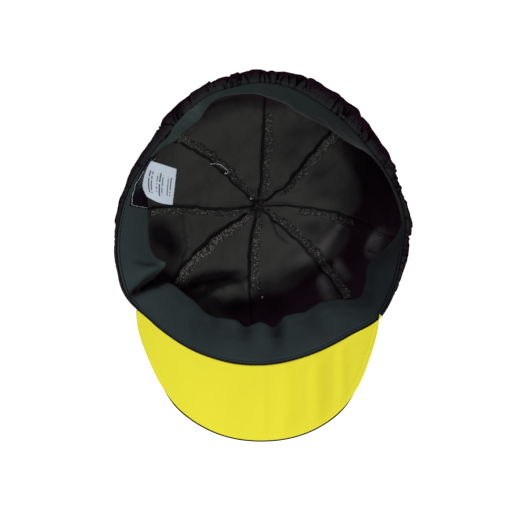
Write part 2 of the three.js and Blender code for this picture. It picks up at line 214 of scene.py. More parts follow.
# The rolled cloth edge along the rim: its radius round the sides and back, and over the peak, and the
# tail that runs down behind the band
ROLL_RADIUS = 0.7
ROLL_OVER_PEAK = 0.45
ROLL_TAIL = 2.6
ROLL_ROWS = 8

# Across the band from its top, in millimetres: how far its sewn ridge and stitched groove stand out
BAND_TOP = table(
    "down out",
    (0, 0), (0.3, 0.4), (0.8, 0.6), (1.3, 0.55), (1.7, 0.25), (2.1, -0.25), (2.5, -0.35),
    (2.9, -0.15), (3.5, 0.1), (4.5, 0),
)
# Folds of the band, as those of the crown: a deep crease at the lower left with a turned-out edge
# above it, grooves at the back left, dimples along the front, and a soft ridge along the back right
# Painted shade darkens the crease, grooves and dimples; painted light lies on the turned-out edge and a lit
# fold at the back left
BAND_FOLDS = table(
    "from_x from_y to_x to_y height width side shade",
    (-84.5, -28.5, -76, -20.7, -3.4, 2.8, -0.2, 1.2),
    (-76.6, -23, -61, -11.5, -9, 3.2, -0.25, 0),
    (-69, -6, -68, -11, 0, 4.6, 0, -0.5),
    (-62, 76, -52, 85.5, 0, 4, 0, -0.6),
    (-52, 85.5, -41, 92.5, 0, 3.6, 0, -0.8),
    (-76, -20.7, -61.5, -12.8, 0, 3.6, 0, 1.3),
    (-77, -14, -64.8, -6.5, 4.2, 4.6, 0, 0),
    (-70, -2, -64.5, -3, 2.4, 3, 0, 0),
    (-83.5, -7.5, -71, -11, -1.4, 2, 0, 0.4),
    (-58.2, 80.8, -48.2, 85.2, -1.8, 1.3, 0, 0.5),
    (-54, 86, -44, 88.6, -1.6, 1.2, 0, 0.5),
    (-61.5, 75.5, -52, 81, -1.4, 1.4, 0, 0.3),
    (-64, 71, -56, 77.5, 1.4, 2, 0, 0),
    (17.9, 98.1, 54.3, 70.8, 1.3, 2.6, 0, 0),
    (54.3, 70.8, 81.7, 30.1, 1, 2.2, 0, 0),
    (-61.7, -27.6, -41.9, -42.5, 0.8, 4, 0, 0),
    (-12.3, -45.4, -12.3, -56.5, -2.6, 4.6, 0, 0.4),
    (8, -46, 9.6, -59, -3.6, 5, 0, 0.55),
    (-32, -43, -32, -51, -1, 3.4, 0, 0.2),
    (-0.3, -48.1, 0.9, -60.9, 1.6, 4, 0, 0),
    (59.7, -26.4, 69.5, -32.7, -1.8, 5, 0, 0.2),
    (28.5, -41.3, 39.3, -52.7, -1.6, 5, 0, 0.15),
    (-40, -38, -46, -52, -1.2, 4, 0, 0.15),
)

# The peak, curved across its width and rising towards its tip, with the angles round the rim that it
# is sewn between, and its edge by distance from its own middle
PEAK_ROOT_Y, PEAK_ROOT_Z = -94.3, 78
PEAK_MIDDLE_X, PEAK_HALF_WIDTH = -1.5, 78
PEAK_ARCH = 22.8
PEAK_RISE = math.tan(math.radians(15))
PEAK_ROOT_ANGLES = (215.6, 321.7)
PEAK_MIDDLE = np.array([-1.0, -57.0])
PEAK_EDGE = table(
    "angle reach",
    (180, 79.6), (203, 78), (218, 79.4), (232, 81.7), (250, 83.4), (270, 83.8), (290, 83.8),
    (308, 81.9), (322, 79), (337, 76.2), (358, 76.5),
)
# Ripples that run out from the peak's root: place from left to right, height, width, and how much painted
# shade lies along it
PEAK_RIPPLES = table(
    "x height width shade",
    (-42, 0.25, 9, 0), (-16, -0.2, 9, 0.03), (2.1, -0.3, 1.6, 0.10), (8.5, 0.35, 3.5, 0),
    (18.5, -0.5, 5, 0.13), (29, 0.55, 3, 0), (37.5, -0.65, 4.2, 0.2), (46, 0.5, 3, 0),
    (52, -0.4, 2.6, 0.09),
)
# How far the black layer lies below the yellow one, and how far it curls out round the tip
PEAK_THICKNESS = 3.0
PEAK_CURL = 0.4

# The tag on the band from its upper end to its lower one, with its place across the band
TAG_ANGLES = (150, 173.4)
TAG_ACROSS = (0.05, 0.17, 0.98)
# The care label's corners above the crown: root top, root foot, free foot, free top
LABEL_CORNERS = table(
    "x y z",
    (-73.5, 58.2, 86.5),
    (-75, 34.8, 85),
    (-59.2, 30, 74.5),
    (-56.4, 53.4, 76),
)
# A white thread along the tag, by place on the band
TAG_THREAD = table("angle across", (157, 0.05), (160.9, 0.07), (165.6, 0.08), (169.5, 0.12), (172.8, 0.2))

# A white thread left on the crown and two specks of lint, in plan
LOOSE_THREAD = table(
    "x y",
    (-37.6, 63.2), (-34, 63.4), (-30.6, 62.9), (-27.4, 60.6), (-24.7, 58.2), (-25.3, 56.4),
    (-27, 55.8), (-26.2, 57),
)
LINT = table("x y", (-8.0, 38.0), (0.4, -35.0))


def mix(a, b, s):
    """The value a share of the way from a to b."""
    return a + (b - a) * s


def smooth(s):
    """A step from 0 to 1 that starts and ends gently."""
    s = np.clip(s, 0, 1)
    return s * s * (3 - 2 * s)


def hill(distance, width):
    """1 at no distance, falling away over a width."""
    return np.exp(-((distance / width) ** 2))


def norm(vectors):
    return np.linalg.norm(vectors, axis=-1)


def unit(vectors):
    return vectors / norm(vectors)[..., None]


def polar(angle, distance):
    """A place in plan, by angle and distance from a middle."""
    turn = np.radians(angle)
    return np.stack([distance * np.cos(turn), distance * np.sin(turn)], axis=-1)


def between(rows, column, angle):
    """A column of a table at any angles, smoothly round the whole turn."""
    stops, values = rows["angle"], rows[column]
    stops = np.concatenate([[stops[-1] - 360], stops, [stops[0] + 360, stops[1] + 360]])
    values = np.concatenate([values[-1:], values, values[:2]])
    turn = np.mod(np.asarray(angle, float) - stops[1], 360) + stops[1]
    i = np.clip(np.searchsorted(stops, turn, side="right") - 1, 1, len(stops) - 3)
    step = stops[i + 1] - stops[i]
    s = (turn - stops[i]) / step
    start_slope = (values[i + 1] - values[i - 1]) / (stops[i + 1] - stops[i - 1]) * step
    end_slope = (values[i + 2] - values[i]) / (stops[i + 2] - stops[i]) * step
    start = (2 * s**3 - 3 * s**2 + 1) * values[i] + (s**3 - 2 * s**2 + s) * start_slope
    end = (3 * s**2 - 2 * s**3) * values[i + 1] + (s**3 - s**2) * end_slope
    return start + end


def bezier(a, b, c, d, s):
    """A cubic curve through pairs of distances and heights."""
    weights = (1 - s) ** 3, 3 * s * (1 - s) ** 2, 3 * s**2 * (1 - s), s**3
    return [sum(w * point[k] for w, point in zip(weights, (a, b, c, d))) for k in (0, 1)]


def wander(points, wavelength, seed):
    """Smooth wandering between about -1 and 1 over the points, from nine waves."""
    dice = np.random.default_rng(seed)
    total = np.zeros(points.shape[:-1])
    for _ in range(9):
        direction = dice.normal(size=points.shape[-1])
        direction *= 2 * math.pi / norm(direction) / wavelength / dice.uniform(0.7, 1.6)
        total += np.sin(points @ direction + dice.uniform(0, 2 * math.pi))
    return total / 3


def section(angle, t):
    """The crown's outer line: t is 0 to 1 across the flat, to 2 at the widest place, and to 3 at the rim."""
    wide = [between(SECTIONS, name, angle) for name in ("bulge_r", "bulge_z")]
    rim = [between(SECTIONS, name, angle) for name in ("rim_r", "rim_z")]
    lean = np.radians(between(SECTIONS, "lean", angle))
    reach = (rim[1] - wide[1]) * UPPER_WALL
    along = (mix(FLAT_RADIUS, wide[0], SHOULDER), 0)
    below = (wide[0], wide[1] * (1 - SHOULDER))
    above = (wide[0], wide[1] + reach)
    under = (rim[0] - reach * np.sin(lean), rim[1] - reach * np.cos(lean))
    shoulder = bezier((FLAT_RADIUS, 0), along, below, wide, t - 1)
    wall = bezier(wide, above, under, rim, t - 2)
    flat = mix(MEETING_HOLE, FLAT_RADIUS, t)
    radius = np.where(t <= 1, flat, np.where(t <= 2, shoulder[0], wall[0]))
    height = np.where(t <= 1, 0, np.where(t <= 2, shoulder[1], wall[1]))
    return radius, height


def crown(angle, t):
    """Points on the crown's outer surface, before its folds."""
    radius, height = section(angle, t)
    away = 1 - smooth(t - 1)
    plan = OPENING + MEETING_POINT * away[..., None] + polar(angle, radius)
    return np.concatenate([plan, height[..., None]], axis=-1)


def upwards(angle, t):
    """The direction from the meeting point towards the rim."""
    step = 0.002
    return unit(crown(angle, np.minimum(t + step, 3)) - crown(angle, np.maximum(t - step, 0)))


def inwards(angle, t):
    """The crown's inward normal."""
    step = 0.05
    return unit(np.cross(upwards(angle, t), crown(angle + step, t) - crown(angle - step, t)))


def seam_angle(index, t):
    """The angle of a seam, counted on past the last one, along the section."""
    turns, index = divmod(index, len(SEAMS))
    seam = SEAMS[index]
    angle = mix(seam["inner"], seam["low"], smooth(t / SEAM_LOW)) + 360 * turns
    angle = angle + (seam["rim"] - seam["low"]) * smooth((t - SEAM_LOW) / (3 - SEAM_LOW))
    here = run(t)
    sway = np.sin(here / 2.7 + 1.7 * index) + 0.7 * np.sin(here / 1.45 + 2.9 * index)
    sway = sway + np.sin(here / 6.1 + index)
    sway = 0.6 * seam["wander"] * sway * smooth(t / 0.3) * smooth((2.6 - t) / 0.6)
    return angle + np.degrees(sway / np.interp(t, (0, 1, 2), (1, FLAT_RADIUS, 95)))


def run(t):
    """How far the cloth runs from the meeting point."""
    return np.interp(t, (0, 1, 2, 3), np.cumsum((0, FLAT_RUN, SHOULDER_RUN, WALL_RUN)))


def beside_seams(angle, t):
    """How far each point lies anticlockwise of every seam."""
    apart = [np.mod(angle - seam_angle(k, t) + 180, 360) - 180 for k in range(len(SEAMS))]
    return np.radians(apart) * section(angle, t)[0]


def gather_depth(angle):
    """How deep the gathers are at an angle round the rim."""
    return between(SECTIONS, "pucker", angle)


def creases():
    """The creases round the rim: place, slant, depth, width and how far down the wall each runs."""
    dice = np.random.default_rng(61)
    gaps = dice.uniform(0.5, 1.9, CREASES)
    places = CREASE_SPAN[0] + np.cumsum(gaps) / gaps.sum() * (CREASE_SPAN[1] - CREASE_SPAN[0])
    slants = dice.normal(0, 5, CREASES) + 7 * hill(places - 40, 30) - 6 * hill(places - 125, 22)
    return np.stack([
        places, slants, dice.uniform(0.3, 1.0, CREASES) ** 1.5 * 1.7, dice.uniform(0.3, 0.8, CREASES),
        dice.uniform(0.0, 0.9, CREASES) ** 0.5,
    ], axis=-1)


def puffs(angle, t):
    """The gathers of the back: soft waves of cloth, with sharp creases between them."""
    s = t - 2
    turn = np.mod(angle + 60, 360) - 60
    total = 0.3 + 0.4 * wander(np.stack([turn, 7 * s], axis=-1), 10, 3)
    for place, slant, depth, width, foot in creases():
        away = (turn - place - slant * (1 - s)) / width
        crease = np.exp(-(np.abs(away) ** 1.3)) - 0.35 * hill(away - math.copysign(1.9, slant), 1.2)
        total = total - depth * smooth((s - foot) / 0.3) * crease
    return total


def rim_puffs(angle):
    """The gathers at the rim, at their full depth."""
    return gather_depth(angle) * puffs(angle, np.full_like(angle, 3.0))


def gathers(angle, t):
    """How far the elastic's gathers push the upper wall out."""
    s = t - 2
    at_rim = smooth((s - GATHER_PEAK) / (1 - GATHER_PEAK))
    depth = smooth(s / GATHER_PEAK) * mix(1, GATHER_AT_RIM, at_rim)
    return gather_depth(angle) * depth * puffs(angle, t)


def folded(points, folds, column="height"):
    """How far a table's folds stand out at points in plan, or their painted shade and light, with a crisper
    edge.
    """
    crisp = 2 if column == "height" else 3
    total = np.zeros(points.shape[:-1])
    for fold in folds[folds[column] != 0]:
        start = np.array([fold["from_x"], fold["from_y"]])
        reach = np.array([fold["to_x"], fold["to_y"]]) - start
        offset = points[..., :2] - start
        along = np.clip(offset @ reach / (reach @ reach), 0, 1)
        away = offset - along[..., None] * reach
        left = (reach[0] * away[..., 1] - reach[1] * away[..., 0]) / norm(reach)
        width = fold["width"] * (1 + fold["side"] * np.tanh(2 * left / fold["width"]))
        fade = np.sin(math.pi * np.clip(along * 0.8 + 0.1, 0, 1)) ** 0.6
        total += fold[column] * fade * np.exp(-((norm(away) / width) ** crisp))
    return total


def inside_shades(angle, t, points):
    """Painted shade in grooves and folds, painted shadow on the walls, darker round the knot, and painted
    light on ridges.
    """
    on_seam = smooth((2.7 - t) / 0.3) * smooth(t / 0.1)
    beside = zip(beside_seams(angle, t), SEAMS)
    # The seams' grooves are darkened with painted shade
    groove = sum(hill(away + 0.4 * seam["side"], seam["groove"]) for away, seam in beside) * on_seam
    offset = points[..., :2] - OPENING
    turn = np.degrees(np.arctan2(offset[..., 1], offset[..., 0]))
    # Painted shadow on the walls inside, beyond an edge that wanders a little
    beyond = norm(offset) - between(WALL_SHADE, "edge", turn) + 1.5 * wander(points, 22, 19)
    wall = between(WALL_SHADE, "share", turn) * smooth(beyond / 8 + 0.5)
    tangled = np.clip(0.75 + 0.5 * wander(points, 4, 20), 0, 1) * (1 - 0.7 * hill(turn - 60, 30))
    knot = 0.85 * hill(norm(offset - MEETING_POINT), 8.5) * tangled
    # Folds that stand up catch the light, so the painted shadow is taken off them
    lit = np.clip(folded(points, FOLDS) / 4, 0, 1)
    # The folds' painted shade, and painted light where a fold's shade is negative
    deep = folded(points, FOLDS, "shade")
    # A seam's painted groove shade fades where the painted wall shadow lies
    groove = np.clip(groove, 0, 0.97) * (1 - 0.8 * smooth((t - 1.4) / 0.2) * wall)
    dark = 1 - (1 - groove) * (1 - np.clip(deep, 0, 0.9)) * (1 - knot)
    return dark, wall * (1 - lit), np.clip(-deep, 0, 1)


def outside_shades(angle, t):
    """Painted shade on the outside's upright wall, less near the rim most at the back, and in the elastic's
    creases.
    """
    s = t - 2
    # How much of the wall's painted shade is left off near the rim, where the top catches the light; most at
    # the back
    rim_lit_share = mix(0.6, 1, hill(np.mod(angle + 80, 360) - 180, 60))
    upright = 0.95 * smooth((t - 1.1) / 0.5) * (1 - rim_lit_share * smooth((s - 0.7) / 0.26))
    creased = np.clip(0.1 - 1.7 * puffs(angle, t), 0, 1)
    return upright, 0.9 * creased * np.clip(gather_depth(angle), 0, 1) * smooth(s / 0.5)


def lift(angle, t, points):
    """How far the cloth stands inwards of the plain crown."""
    settings = bpy.context.scene.cap_crown
    away = np.abs(beside_seams(angle, t)).min(axis=0)
    on_wall = smooth((t - 1) / 0.6)
    dip = settings.seam_dip / MM * hill(away, 1.5)
    along = np.stack([run(t), away * 0.2], axis=-1)
    pucker = settings.seam_pucker / MM * np.exp(-away / 7) * wander(along, 7.5, 11) * smooth(t / 0.3)
    soft = settings.softness / MM * wander(points, 34, 12) * mix(0.4, 1, on_wall)
    small = 0.42 * wander(points, 13, 13) * mix(0.9, 1, on_wall) + 0.16 * wander(points, 6.5, 15)
    spokes = 0.5 * wander(polar(angle, 1), 0.5, 14) * smooth(t / 0.12) * np.exp(-run(t) / 16)
    small = np.maximum(pucker + small + spokes, -0.4 - on_wall)
    below_rim = mix(0.3, 1, smooth((2.95 - t) / 0.25))
    # On the floor the soft waves can only rise
    rises = mix(np.abs(soft) * 0.8, soft, smooth((t - 1.05) / 0.5)) * smooth((3 - t) / 0.4)
    folds = smooth((2.7 - t) / 0.4) * folded(points, FOLDS)
    return (dip + small) * below_rim + rises + folds - gathers(angle, t)


def cloth(angle, t, depth=0.0):
    """Points at a depth inside the crown's folded outer surface."""
    angle, t = np.broadcast_arrays(np.asarray(angle, float), np.asarray(t, float))
    plain = crown(angle, t)
    inner = lift(angle, t, plain) + depth
    moved = plain + inwards(angle, t) * inner[..., None]
    moved[..., 2] = np.maximum(moved[..., 2], depth * 0.5)
    return moved


def aside(angle, t, distance):
    """The angle that lies a distance anticlockwise of another, along the crown."""
    return angle + np.degrees(distance / section(angle, t)[0])


def crown_at(x, y):
    """The angle and t of the crown's lower part that lie over a point in plan."""
    t = np.linspace(0.01, 2, 800)
    centre = OPENING + MEETING_POINT * (1 - smooth(t - 1))[:, None]
    offset = np.array([x, y]) - centre
    angle = np.degrees(np.arctan2(offset[:, 1], offset[:, 0]))
    best = np.argmin(np.abs(norm(offset) - section(angle, t)[0]))
    return angle[best], t[best]


def roll_radius(angle):
    """The radius of the rolled rim, thin where the peak is sewn on."""
    turn = np.mod(angle, 360)
    first, last = PEAK_ROOT_ANGLES
    over_peak = smooth((turn - first + 2) / 5) * smooth((last + 2 - turn) / 5)
    return mix(ROLL_RADIUS, ROLL_OVER_PEAK, over_peak)


def rim_top(angle):
    """Where on the section the roll begins."""
    return 3 - roll_radius(angle) / WALL_RUN


def rim_frame(angle):
    """The seam line inside the roll, the way up and the way in."""
    top = rim_top(angle)
    inward = inwards(angle, top)
    across = 2 * roll_radius(angle) + 0.2 * gather_depth(angle)
    return crown(angle, top) + inward * across[..., None], upwards(angle, top), inward


def rolled_rim(angle, turn, tail):
    """The cloth's way over the rim: a half turn to the seam line, then a tail down behind the band."""
    seam, up, _ = rim_frame(angle)
    rise = roll_radius(angle) * (1 + 0.35 * rim_puffs(angle)) * np.sin(turn) - tail
    below = cloth(angle, rim_top(angle))
    return mix(below, seam, (1 - np.cos(turn))[..., None] / 2) + up * rise[..., None]


def band_root(angle):
    """The band's top, where it is sewn on."""
    seam, up, inward = rim_frame(angle)
    return seam + inward * 0.25 - up * (0.1 * roll_radius(angle))[..., None]


def band_loose(angle):
    """The band's loose edge."""
    plan = OPENING + polar(angle, between(BAND_EDGE, "loose_r", angle))
    return np.concatenate([plan, between(BAND_EDGE, "loose_z", angle)[..., None]], axis=-1)


def band_down(angle):
    """The band's slanting height from its top to its loose edge, in millimetres."""
    return norm(band_loose(angle) - band_root(angle))


def band_slope(angle):
    """The way down the band."""
    return unit(band_loose(angle) - band_root(angle))


def band(angle, down, out=0.0):
    """Points on the band's inner face at a distance down from its top."""
    angle, down = np.broadcast_arrays(np.asarray(angle, float), np.asarray(down, float))
    root, loose = band_root(angle), band_loose(angle)
    slope = unit(loose - root)
    across = down / norm(loose - root)
    turn = np.radians(angle)
    tangent = np.stack([-np.sin(turn), np.cos(turn), np.zeros_like(turn)], axis=-1)
    face = unit(np.cross(tangent, slope))
    at_side = (roll_radius(angle) - ROLL_OVER_PEAK) / (ROLL_RADIUS - ROLL_OVER_PEAK)
    ridge = np.interp(down, BAND_TOP["down"], BAND_TOP["out"]) * mix(0.55, 1, at_side)
    stand = 1.8 * np.sin(math.pi * np.clip(across, 0, 1)) + ridge
    here = np.stack([angle * 1.5, down], axis=-1)
    stand += smooth(across * 1.4 - 0.2) * (0.45 * wander(here, 30, 21) + 0.2 * wander(here, 11, 22))
    stand -= 0.12 * rim_puffs(angle) * np.exp(-down / 4)
    plain = root + slope * down[..., None]
    return plain + face * (stand + folded(plain, BAND_FOLDS) + out)[..., None]


def peak_height(plan):
    """The height of the peak's yellow face before its ripples."""
    arch = PEAK_ARCH * ((plan[..., 0] - PEAK_MIDDLE_X) / PEAK_HALF_WIDTH) ** 2
    return PEAK_ROOT_Z + arch + (PEAK_ROOT_Y - plan[..., 1]) * PEAK_RISE


def peak_ripples(x, column):
    """How high the ripples are from left to right, or how much painted shade lies along them."""
    return sum(r[column] * hill(x - r["x"], r["width"]) for r in PEAK_RIPPLES)


def peak(across, out, below=0.0, beyond=0.0):
    """Points of the peak: across from left to right, out from root to edge, below its yellow face."""
    root_angle = mix(PEAK_ROOT_ANGLES[0], PEAK_ROOT_ANGLES[1], across)
    edge_angle = mix(PEAK_EDGE["angle"][0], PEAK_EDGE["angle"][-1], across)
    root = polar(root_angle, between(SECTIONS, "rim_r", root_angle) - 0.2)
    edge = polar(edge_angle, between(PEAK_EDGE, "reach", edge_angle) + beyond) + PEAK_MIDDLE
    plan = mix(root, edge, out[..., None])
    ripple = peak_ripples(plan[..., 0] + OPENING[0], "height")
    ripple = ripple * smooth(out / 0.25) * smooth((1.08 - out) / 0.4)
    from_edge = (1 - out) * norm(edge - root)
    # The stitched line just inside the edge
    ridge = 0.16 * hill(from_edge - 3.2, 0.9) - 0.14 * hill(from_edge - 1.7, 0.6)
    ridge = ridge * mix(0.2, 0.55, smooth(across * 2 - 0.8))
    height = peak_height(plan) - below + ripple + ridge + 0.25 * wander(plan, 45, 31)
    return np.concatenate([OPENING + plan, height[..., None]], axis=-1)


def link(name, mesh, materials):
    """An object of the mesh, in the cap's body."""
    piece = bpy.data.objects.new(name, mesh)
    bpy.context.scene.collection.objects.link(piece)
    for material in materials:
        mesh.materials.append(material)
    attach(piece, "root")
    return piece


def mesh_of(name, shape):
    """The mesh of a finished bmesh."""
    mesh = bpy.data.meshes.new(name)
    shape.to_mesh(mesh)
    shape.free()
    return mesh


def mesh_points(mesh):
    """The places of a mesh's vertices."""
    flat = np.empty(len(mesh.vertices) * 3)
    mesh.vertices.foreach_get("co", flat)
    return flat.reshape(-1, 3)


# What a sheet's place function gives after its points and cloth coordinates, each from 0 to 1: painted shade
# in the inside's grooves and folds, painted shadow on its walls, painted light on its lit ridges, and painted
# shade on the outside's upright wall and in its creases
SHADES = ("cloth_shade", "wall_shade", "ridge_shade", "outer_shade", "crease_shade")


def sheet_mesh(name, columns, rows, place, closed=False):
    """A grid carried to place(u, v), which gives points and cloth coordinates in millimetres, then SHADES."""
    grid = bmesh.new()
    bmesh.ops.create_grid(grid, x_segments=columns, y_segments=rows, size=0.5)
    mesh = mesh_of(name, grid)
    flat = mesh_points(mesh) + 0.5
    points, threads, *shades = place(flat[:, 0], flat[:, 1])
    mesh.vertices.foreach_set("co", (points * MM).ravel())
    corners = np.empty(len(mesh.loops), int)
    mesh.loops.foreach_get("vertex_index", corners)
    mesh.uv_layers.new(name="cloth").data.foreach_set("uv", (threads[corners] * MM).ravel())
    for label, shade in zip(SHADES, shades):
        values = np.clip(shade, 0, 1).astype(np.float32)
        mesh.attributes.new(label, "FLOAT", "POINT").data.foreach_set("value", values)
    if closed:
        ring = bmesh.new()
        ring.from_mesh(mesh)
        bmesh.ops.remove_doubles(ring, verts=ring.verts, dist=1e-6)
        ring.to_mesh(mesh)
        ring.free()
    mesh.shade_smooth()
    mesh.update()
    return mesh


def thicken(piece, thickness):
    """Gives a sheet its thickness, away from the face that it shows, with its last material on the back."""
    wall = piece.modifiers.new("cloth thickness", "SOLIDIFY")
    wall.thickness = thickness
    wall.offset = -1
    wall.use_even_offset = False
    wall.material_offset = len(piece.data.materials) - 1
    wall.material_offset_rim = 0
    return piece


def thread_piece(name, runs, radius, material):
    """Threads along runs of points in millimetres, as one piece."""
    curve = bpy.data.curves.new(name, "CURVE")
    curve.dimensions = "3D"
    curve.bevel_depth = radius
    curve.bevel_resolution = 0
    curve.use_fill_caps = True
    for points in runs:
        spline = curve.splines.new("POLY")
        spline.points.add(len(points) - 1)
        places = np.concatenate([np.asarray(points) * MM, np.ones((len(points), 1))], axis=1)
        spline.points.foreach_set("co", places.ravel())
    maker = bpy.data.objects.new(name, curve)
    bpy.context.scene.collection.objects.link(maker)
    mesh = bpy.data.meshes.new_from_object(maker.evaluated_get(bpy.context.evaluated_depsgraph_get()))
    bpy.data.objects.remove(maker)
    bpy.data.curves.remove(curve)
    mesh.name = name
    mesh.shade_smooth()
    return link(name, mesh, [material])


class Tree:
    """Adds nodes to one node tree and joins them."""

    def __init__(self, tree):
        self.tree = tree
        tree.nodes.clear()

    def put(self, socket, value):
        if isinstance(value, bpy.types.NodeSocket):
            self.tree.links.new(value, socket)
        else:
            socket.default_value = value

    def add(self, kind, inputs=None, **settings):
        node = self.tree.nodes.new(kind)
        for name, value in settings.items():
            setattr(node, name, value)
        for name, value in (inputs or {}).items():
            self.put(node.inputs[name], value)
        return node

    def math(self, operation, *values):
        node = self.add("ShaderNodeMath", operation=operation)
        for socket, value in zip(node.inputs, values):
            self.put(socket, value)
        return node.outputs[0]

    def wave(self, value, spacing):
        """A wave from 0 to 1 that repeats at a spacing."""
        turns = self.math("MULTIPLY", self.math("DIVIDE", value, spacing), 2 * math.pi)
        return self.math("MULTIPLY_ADD", self.math("COSINE", turns), 0.5, 0.5)

    def step(self, value, low, high):
        """A smooth step from 0 to 1 between two values."""
        inputs = {"Value": value, "From Min": low, "From Max": high}
        return self.add("ShaderNodeMapRange", inputs, interpolation_type="SMOOTHSTEP").outputs[0]

    def noise(self, vector, scale, detail=2.0, rough=0.5):
        inputs = {"Vector": vector, "Scale": scale, "Detail": detail, "Roughness": rough}
        return self.add("ShaderNodeTexNoise", inputs).outputs[0]

    def colour(self, factor, a, b):
        """A mix of two colours."""
        node = self.add("ShaderNodeMix", data_type="RGBA")
        for index, value in ((0, factor), (6, a), (7, b)):
            self.put(node.inputs[index], value)
        return node.outputs[2]

    def shader(self, inputs):
        """Ends a material's tree in one Principled shader."""
        shader = self.add("ShaderNodeBsdfPrincipled", inputs)
        self.add("ShaderNodeOutputMaterial", {"Surface": shader.outputs[0]})


def new_material(name):
    """A material, and its tree to fill."""
    material = bpy.data.materials.new(name)
    material.use_nodes = True
    return material, Tree(material.node_tree)


def new_group(name, inputs, outputs):
    """A shader node group with named sockets, and its tree's input and output nodes."""
    tree = bpy.data.node_groups.new(name, "ShaderNodeTree")
    for label, kind, default in inputs:
        socket = tree.interface.new_socket(label, in_out="INPUT", socket_type=kind)
        if default is not None:
            socket.default_value = default
    for label in outputs:
        tree.interface.new_socket(label, in_out="OUTPUT", socket_type="NodeSocketFloat")
    nodes = Tree(tree)
    return tree, nodes, nodes.add("NodeGroupInput").outputs, nodes.add("NodeGroupOutput").inputs


def weave_group():
    """Ribs and the threads across them, over cloth coordinates in metres."""
    if "cap weave" in bpy.data.node_groups:
        return bpy.data.node_groups["cap weave"]
    inputs = (
        ("Vector", "NodeSocketVector", None),
        ("Rib Spacing", "NodeSocketFloat", 0.0012),
        ("Thread Spacing", "NodeSocketFloat", 0.0005),
        ("Unevenness", "NodeSocketFloat", 0.25),
    )
    tree, nodes, given, out = new_group("cap weave", inputs, ("Height", "Gap"))
    place = nodes.add("ShaderNodeSeparateXYZ", {"Vector": given["Vector"]}).outputs
    drift = nodes.math("SUBTRACT", nodes.noise(given["Vector"], 260), 0.5)
    sway = nodes.math("MULTIPLY", nodes.math("MULTIPLY", drift, given["Unevenness"]), given["Rib Spacing"])
    across = nodes.math("ADD", place["X"], nodes.math("MULTIPLY", sway, 3))
    rib = nodes.wave(across, given["Rib Spacing"])
    rib_number = nodes.math("FLOOR", nodes.math("DIVIDE", across, given["Rib Spacing"]))
    shift = nodes.math("MULTIPLY", rib_number, 0.5)
    along = nodes.math("ADD", place["Y"], nodes.math("MULTIPLY", shift, given["Thread Spacing"]))
    thread = nodes.wave(nodes.math("ADD", along, sway), given["Thread Spacing"])
    height = nodes.math("MULTIPLY_ADD", rib, 0.62, nodes.math("MULTIPLY", thread, 0.38))
    nodes.put(out["Height"], height)
    nodes.put(out["Gap"], nodes.math("POWER", nodes.math("SUBTRACT", 1, height), 1.5))
    return tree


def wear_group():
    """Soft blotches and raised fibres, over object coordinates."""
    if "cap wear" in bpy.data.node_groups:
        return bpy.data.node_groups["cap wear"]
    inputs = (("Vector", "NodeSocketVector", None), ("Blotch Share", "NodeSocketFloat", 0.35))
    tree, nodes, given, out = new_group("cap wear", inputs, ("Blotch", "Fuzz"))
    blotch = nodes.step(nodes.noise(given["Vector"], 38, 4, 0.55), 0.35, 0.7)
    nodes.put(out["Blotch"], nodes.math("MULTIPLY", blotch, given["Blotch Share"]))
    nodes.put(out["Fuzz"], nodes.noise(given["Vector"], 1500, 3, 0.6))
    return tree


def cloth_material(name, colour, rib, thread, sheen=0.0, rough=0.85, contrast=0.4, depth=0.00012,
                   blotch=0.35, tint=None, shaded=(), specular=0.25):
    """Woven cloth: ribs, threads and blotches in its colour, painted shade and light from its shaded
    attributes, and its weave in the bump.
    """
    if name in bpy.data.materials:
        return bpy.data.materials[name]
    material, nodes = new_material(name)
    weave = nodes.add("ShaderNodeGroup", node_tree=weave_group())
    nodes.put(weave.inputs["Vector"], nodes.add("ShaderNodeUVMap", uv_map="cloth").outputs[0])
    nodes.put(weave.inputs["Rib Spacing"], rib)
    nodes.put(weave.inputs["Thread Spacing"], thread)
    wear = nodes.add("ShaderNodeGroup", node_tree=wear_group())
    nodes.put(wear.inputs["Vector"], nodes.add("ShaderNodeTexCoord").outputs["Object"])
    nodes.put(wear.inputs["Blotch Share"], blotch)
    gap = tuple(c * (1 - contrast) for c in colour)
    worn = tint or tuple(c * 0.55 for c in colour)
    look = nodes.colour(weave.outputs["Gap"], (*colour, 1.0), (*gap, 1.0))
    look = nodes.colour(wear.outputs["Blotch"], look, (*worn, 1.0))
    # Each shaded attribute mixes in a tone of painted shade or painted light
    for label, tone in shaded:
        shade = nodes.add("ShaderNodeAttribute", attribute_name=label).outputs["Fac"]
        look = nodes.colour(shade, look, (*tone, 1.0))
        # Where shade or light is painted, the gloss is taken away in the same share
        if specular:
            specular = nodes.math("MULTIPLY", specular, nodes.math("SUBTRACT", 1.0, shade))
    height = nodes.math("MULTIPLY_ADD", wear.outputs["Fuzz"], 0.5, weave.outputs["Height"])
    bump = nodes.add("ShaderNodeBump", {"Height": height, "Distance": depth, "Strength": 0.9})
    nodes.shader({
        "Base Color": look,
        "Roughness": nodes.math("MULTIPLY_ADD", wear.outputs["Fuzz"], 0.12, rough - 0.06),
        "Specular IOR Level": specular,
        "Sheen Weight": sheen,
        "Sheen Roughness": 0.4,
        "Normal": bump.outputs[0],
    })
    return material


# How far from the meeting point the threads are dark, and where they are clear, in metres
KNOT_SHADE_REACH = (0.006, 0.014)


